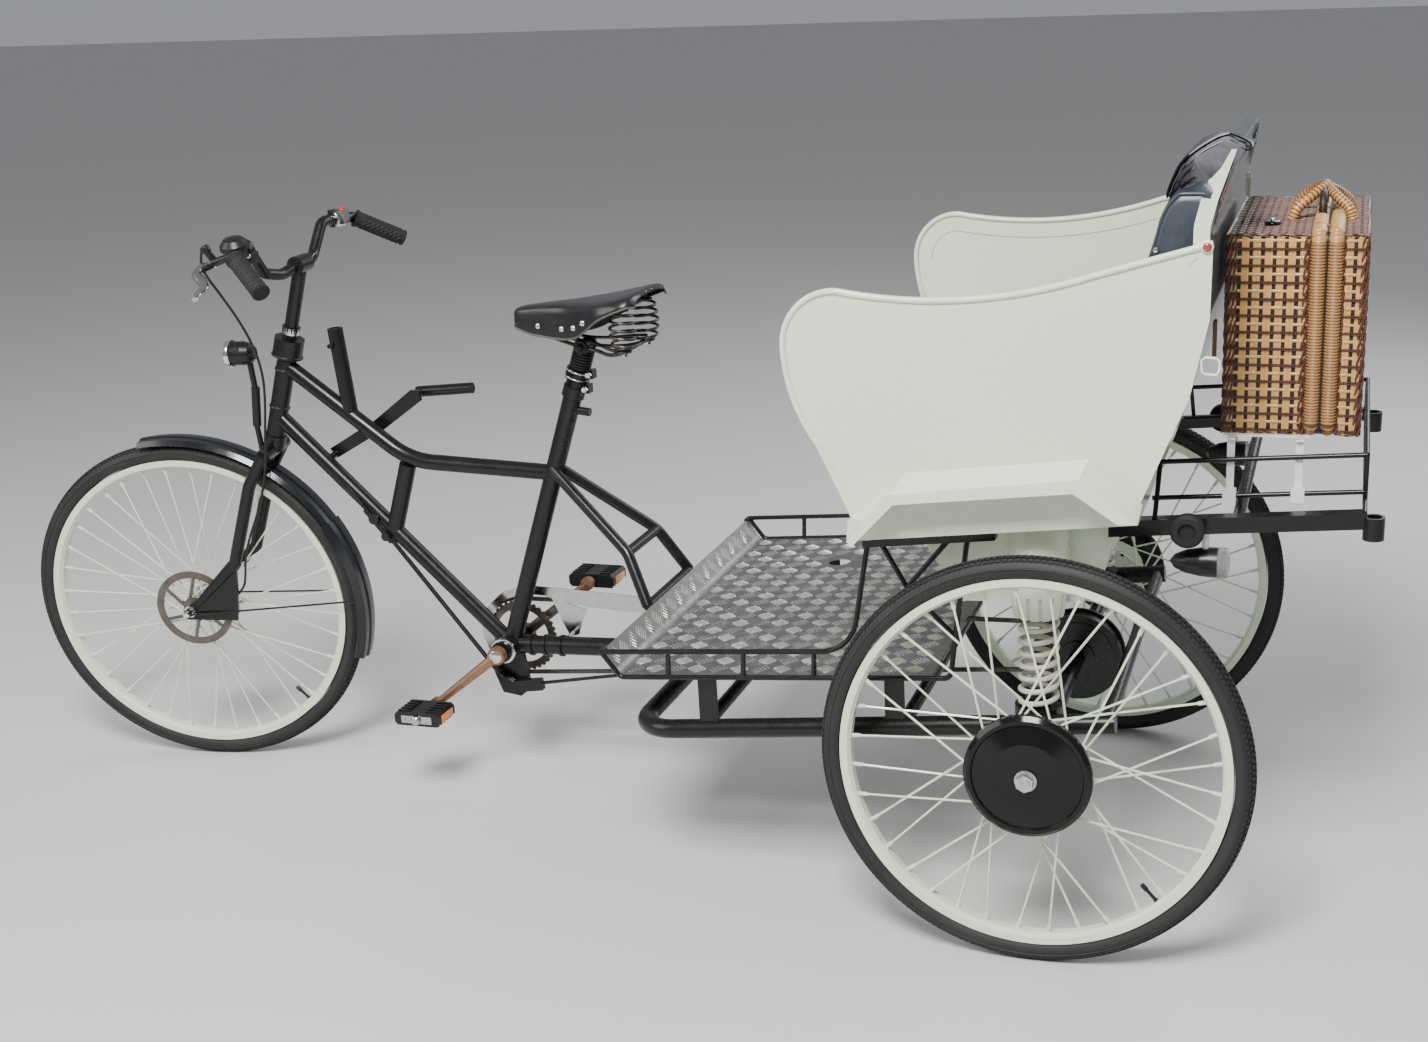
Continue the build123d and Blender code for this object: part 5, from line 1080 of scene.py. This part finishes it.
def arc3(a, b, c):
    """Points on the arc through three points of the side plane."""
    (ax, az), (bx, bz), (cx, cz) = a, b, c
    d = 2 * (ax * (bz - cz) + bx * (cz - az) + cx * (az - bz))
    aa, bb, cc = ax ** 2 + az ** 2, bx ** 2 + bz ** 2, cx ** 2 + cz ** 2
    ux = (aa * (bz - cz) + bb * (cz - az) + cc * (az - bz)) / d
    uz = (aa * (cx - bx) + bb * (ax - cx) + cc * (bx - ax)) / d
    r = math.hypot(ax - ux, az - uz)
    p, q = math.atan2(az - uz, ax - ux), math.atan2(cz - uz, cx - ux)
    q += 2 * pi * round((p - q) / (2 * pi))
    turns = [p + (q - p) * k / ARC_STEPS for k in range(ARC_STEPS + 1)]
    return [(ux + r * math.cos(a), uz + r * math.sin(a)) for a in turns]


rim_line = arc3((398, 1012), (384, 1064), (310, 1103)) + arc3((310, 1103), (90, 1094), (-90, 1131))[1:]
rim_line += [(-175, 1155), (-246, 1174)]
t = Form()
for s in (1, -1):
    cross = []
    for k, (x, z) in enumerate(rim_line):
        a, b = rim_line[max(k - 1, 0)], rim_line[min(k + 1, len(rim_line) - 1)]
        d = Vector((b[0] - a[0], 0, b[1] - a[1])).normalized()
        inward = Vector((d.z, 0, -d.x))
        if inward.dot(Vector((90 - x, 0, 950 - z))) < 0:
            inward = -inward
        cross.append(t.ring([P(x + inward.x * drop, s * y, z + inward.z * drop)
                             for drop, y in ((6, 448.8), (6, 447.4), (33, 447.4), (33, 448.8))]))
    t.grid(cross, 0, True)
    t.cap(cross[0], 0, True)
    t.cap(cross[-1], 0)
    # A thin tube of painted shade along the hem strip's inner edge
    t.tube([t.v[r[2]] for r in cross], 0.8, 6, 1)
t.done("panel_hems", "chassis", ["cream_paint", "hem_edge_painted_shade"], slot="cream_paint")


# Seat post, bellows, clamp and saddle springs
POST = Vector((-188, 0, 539)).normalized()
TOP = P(964, 0, 837) + POST * 0.026
t = Form()
t.lathe([(16.5, -45), (19.2, -44), (19.2, -12), (23.5, -11), (24.2, -9), (24.2, 8), (23.5, 10), (16, 10.5)],
        TOP, POST, 36, 2)
for h in (0.0, -0.030):
    o = TOP + POST * h + Vector((-0.026, 0, 0))
    t.lathe([(4.2, -17), (4.2, 17)], o, (0, 1, 0), 14, 0)
    t.lathe([(6.8, 13), (6.8, 18), (5, 19.5)], o, (0, 1, 0), 6, 0)
    t.box(o, (14, 20, 17), 2)
for h in (-7, 6):
    t.lathe([(24.3, h - 1.2), (24.9, h), (24.3, h + 1.2)], TOP, POST, 36, 0)
prof = [(16.5, 10)]
for z in (11 + k * 5.6 for k in range(8)):
    prof += [(16.8, z), (20.8, z + 1.6), (20.8, z + 3.4), (16.8, z + 5)]
prof += [(12, 57)]
t.lathe(prof, TOP, POST, 36, 1)
head = TOP + POST * 0.058
t.lathe([(12.5, -26), (12.5, 26)], head, (0, 1, 0), 24, 1)
for s in (1, -1):
    t.lathe([(14, 13), (15, 15), (15, 22), (13.5, 24), (9, 24.5)], head, (0, s, 0), 28, 1)
    t.lathe([(7, 24), (7, 30), (5, 32)], head, (0, s, 0), 6, 1)
    for r, rail in ((3.6, ((1046, 12, 951), (1016, 14, 941), (985, 16, 930), (940, 18, 917), (905, 22, 911),
                           (872, 44, 908), (846, 57, 912), (834, 58, 917))),
                    (3, ((1046, 10, 958), (985, 15, 941), (940, 17, 930), (900, 30, 926), (866, 62, 924),
                         (842, 79, 922)))):
        t.tube(smooth_line([P(x, s * y, z) for x, y, z in rail], 6), r, 10, 3)
    pts = []
    for k in range(5 * 24 + 1):
        a = 2 * pi * k / 24 * -s
        r = 21.5 + 2.0 * math.cos(2 * pi * (k / 120 - 0.5))
        pts.append(P(834 + r * math.cos(a), s * 58 + r * math.sin(a), 920 + 72 * k / 120))
    t.tube(pts, 2.7, 9, 3)
    for z in (916, 993):
        t.lathe([(14.5, 0), (15, 1), (15, 3.5), (10, 4.5)], P(834, s * 58, z), (0, 0, 1), 28, 3)
    t.lathe([(4.8, 0), (4.8, 22)], P(834, s * 58, 995), (0, 0, 1), 14, 3)
    t.lathe([(6.5, 0), (6.5, 6)], P(834, s * 58, 909), (0, 0, 1), 6, 0)
t.tube([P(834, -76, 917), P(834, 76, 917)], 4, 10, 3)
t.tube([P(834, -80, 996), P(834, 80, 996)], 4.2, 10, 3)
t.box(P(1046, 0, 954), (12, 34, 16), 3)
t.lathe([(4.5, -20), (4.5, 20)], P(1046, 0, 954), (1, 0, 0.2), 12, 0)
t.box(P(1068, 0, 968), (4, 26, 22), 0)
t.done("seat_post_parts", "chassis", ["chrome", "black_plastic", "gloss_black", "dark_wire"],
       ["seat_post"], "chrome", 40)


# Brake lever blade, cable stub and shifter
t = Form(BAR)
blade = smooth_line([P(*p) for p in ((1590, 190, 1101), (1604, 214, 1098), (1604, 236, 1088), (1585, 252, 1077),
                                     (1573, 268, 1069), (1577, 286, 1061), (1574, 302, 1055))], 7)
radii = [10 - 3 * abs(2 * k / (len(blade) - 1) - 0.9) for k in range(len(blade))]
t.tube(blade, radii, 14, 0, flat=(0.72, 1.0), start=Vector((0.3, 0.3, 1)))
t.lathe([(8.5, -7), (8.5, 7)], P(1591, 194, 1101), (0.2, 0.1, 1), 20, 0)
t.lathe([(7, 0), (7, 18), (8.8, 20), (8.8, 30), (7, 32)], P(1589, 195, 1106), (0.48, 0.12, 0.87), 18, 1)
u = (Vector((1546, 148, 1124)) - GA).normalized()
base = P(*GA) + u * 0.044
prof = [(12.5, 0)]
for k in range(8):
    prof += [(19, 2 + k * 4), (17.6, 4 + k * 4)]
prof += [(13, 36)]
t.lathe(prof, base, u, 32, 1)
t.box(base + u * 0.018 + Vector((-0.010, 0, -0.014)), (26, 28, 20), 1)
t.lathe([(4.6, 0), (4.6, 4), (2, 5)], base + u * 0.018 + Vector((-0.020, 0.016, -0.008)), (0, 1, 0), 14, 0)
t.done("brake_lever_parts", "steering", ["guard_metal", "black_plastic"], slot="bare_steel", bevel=0.0008)
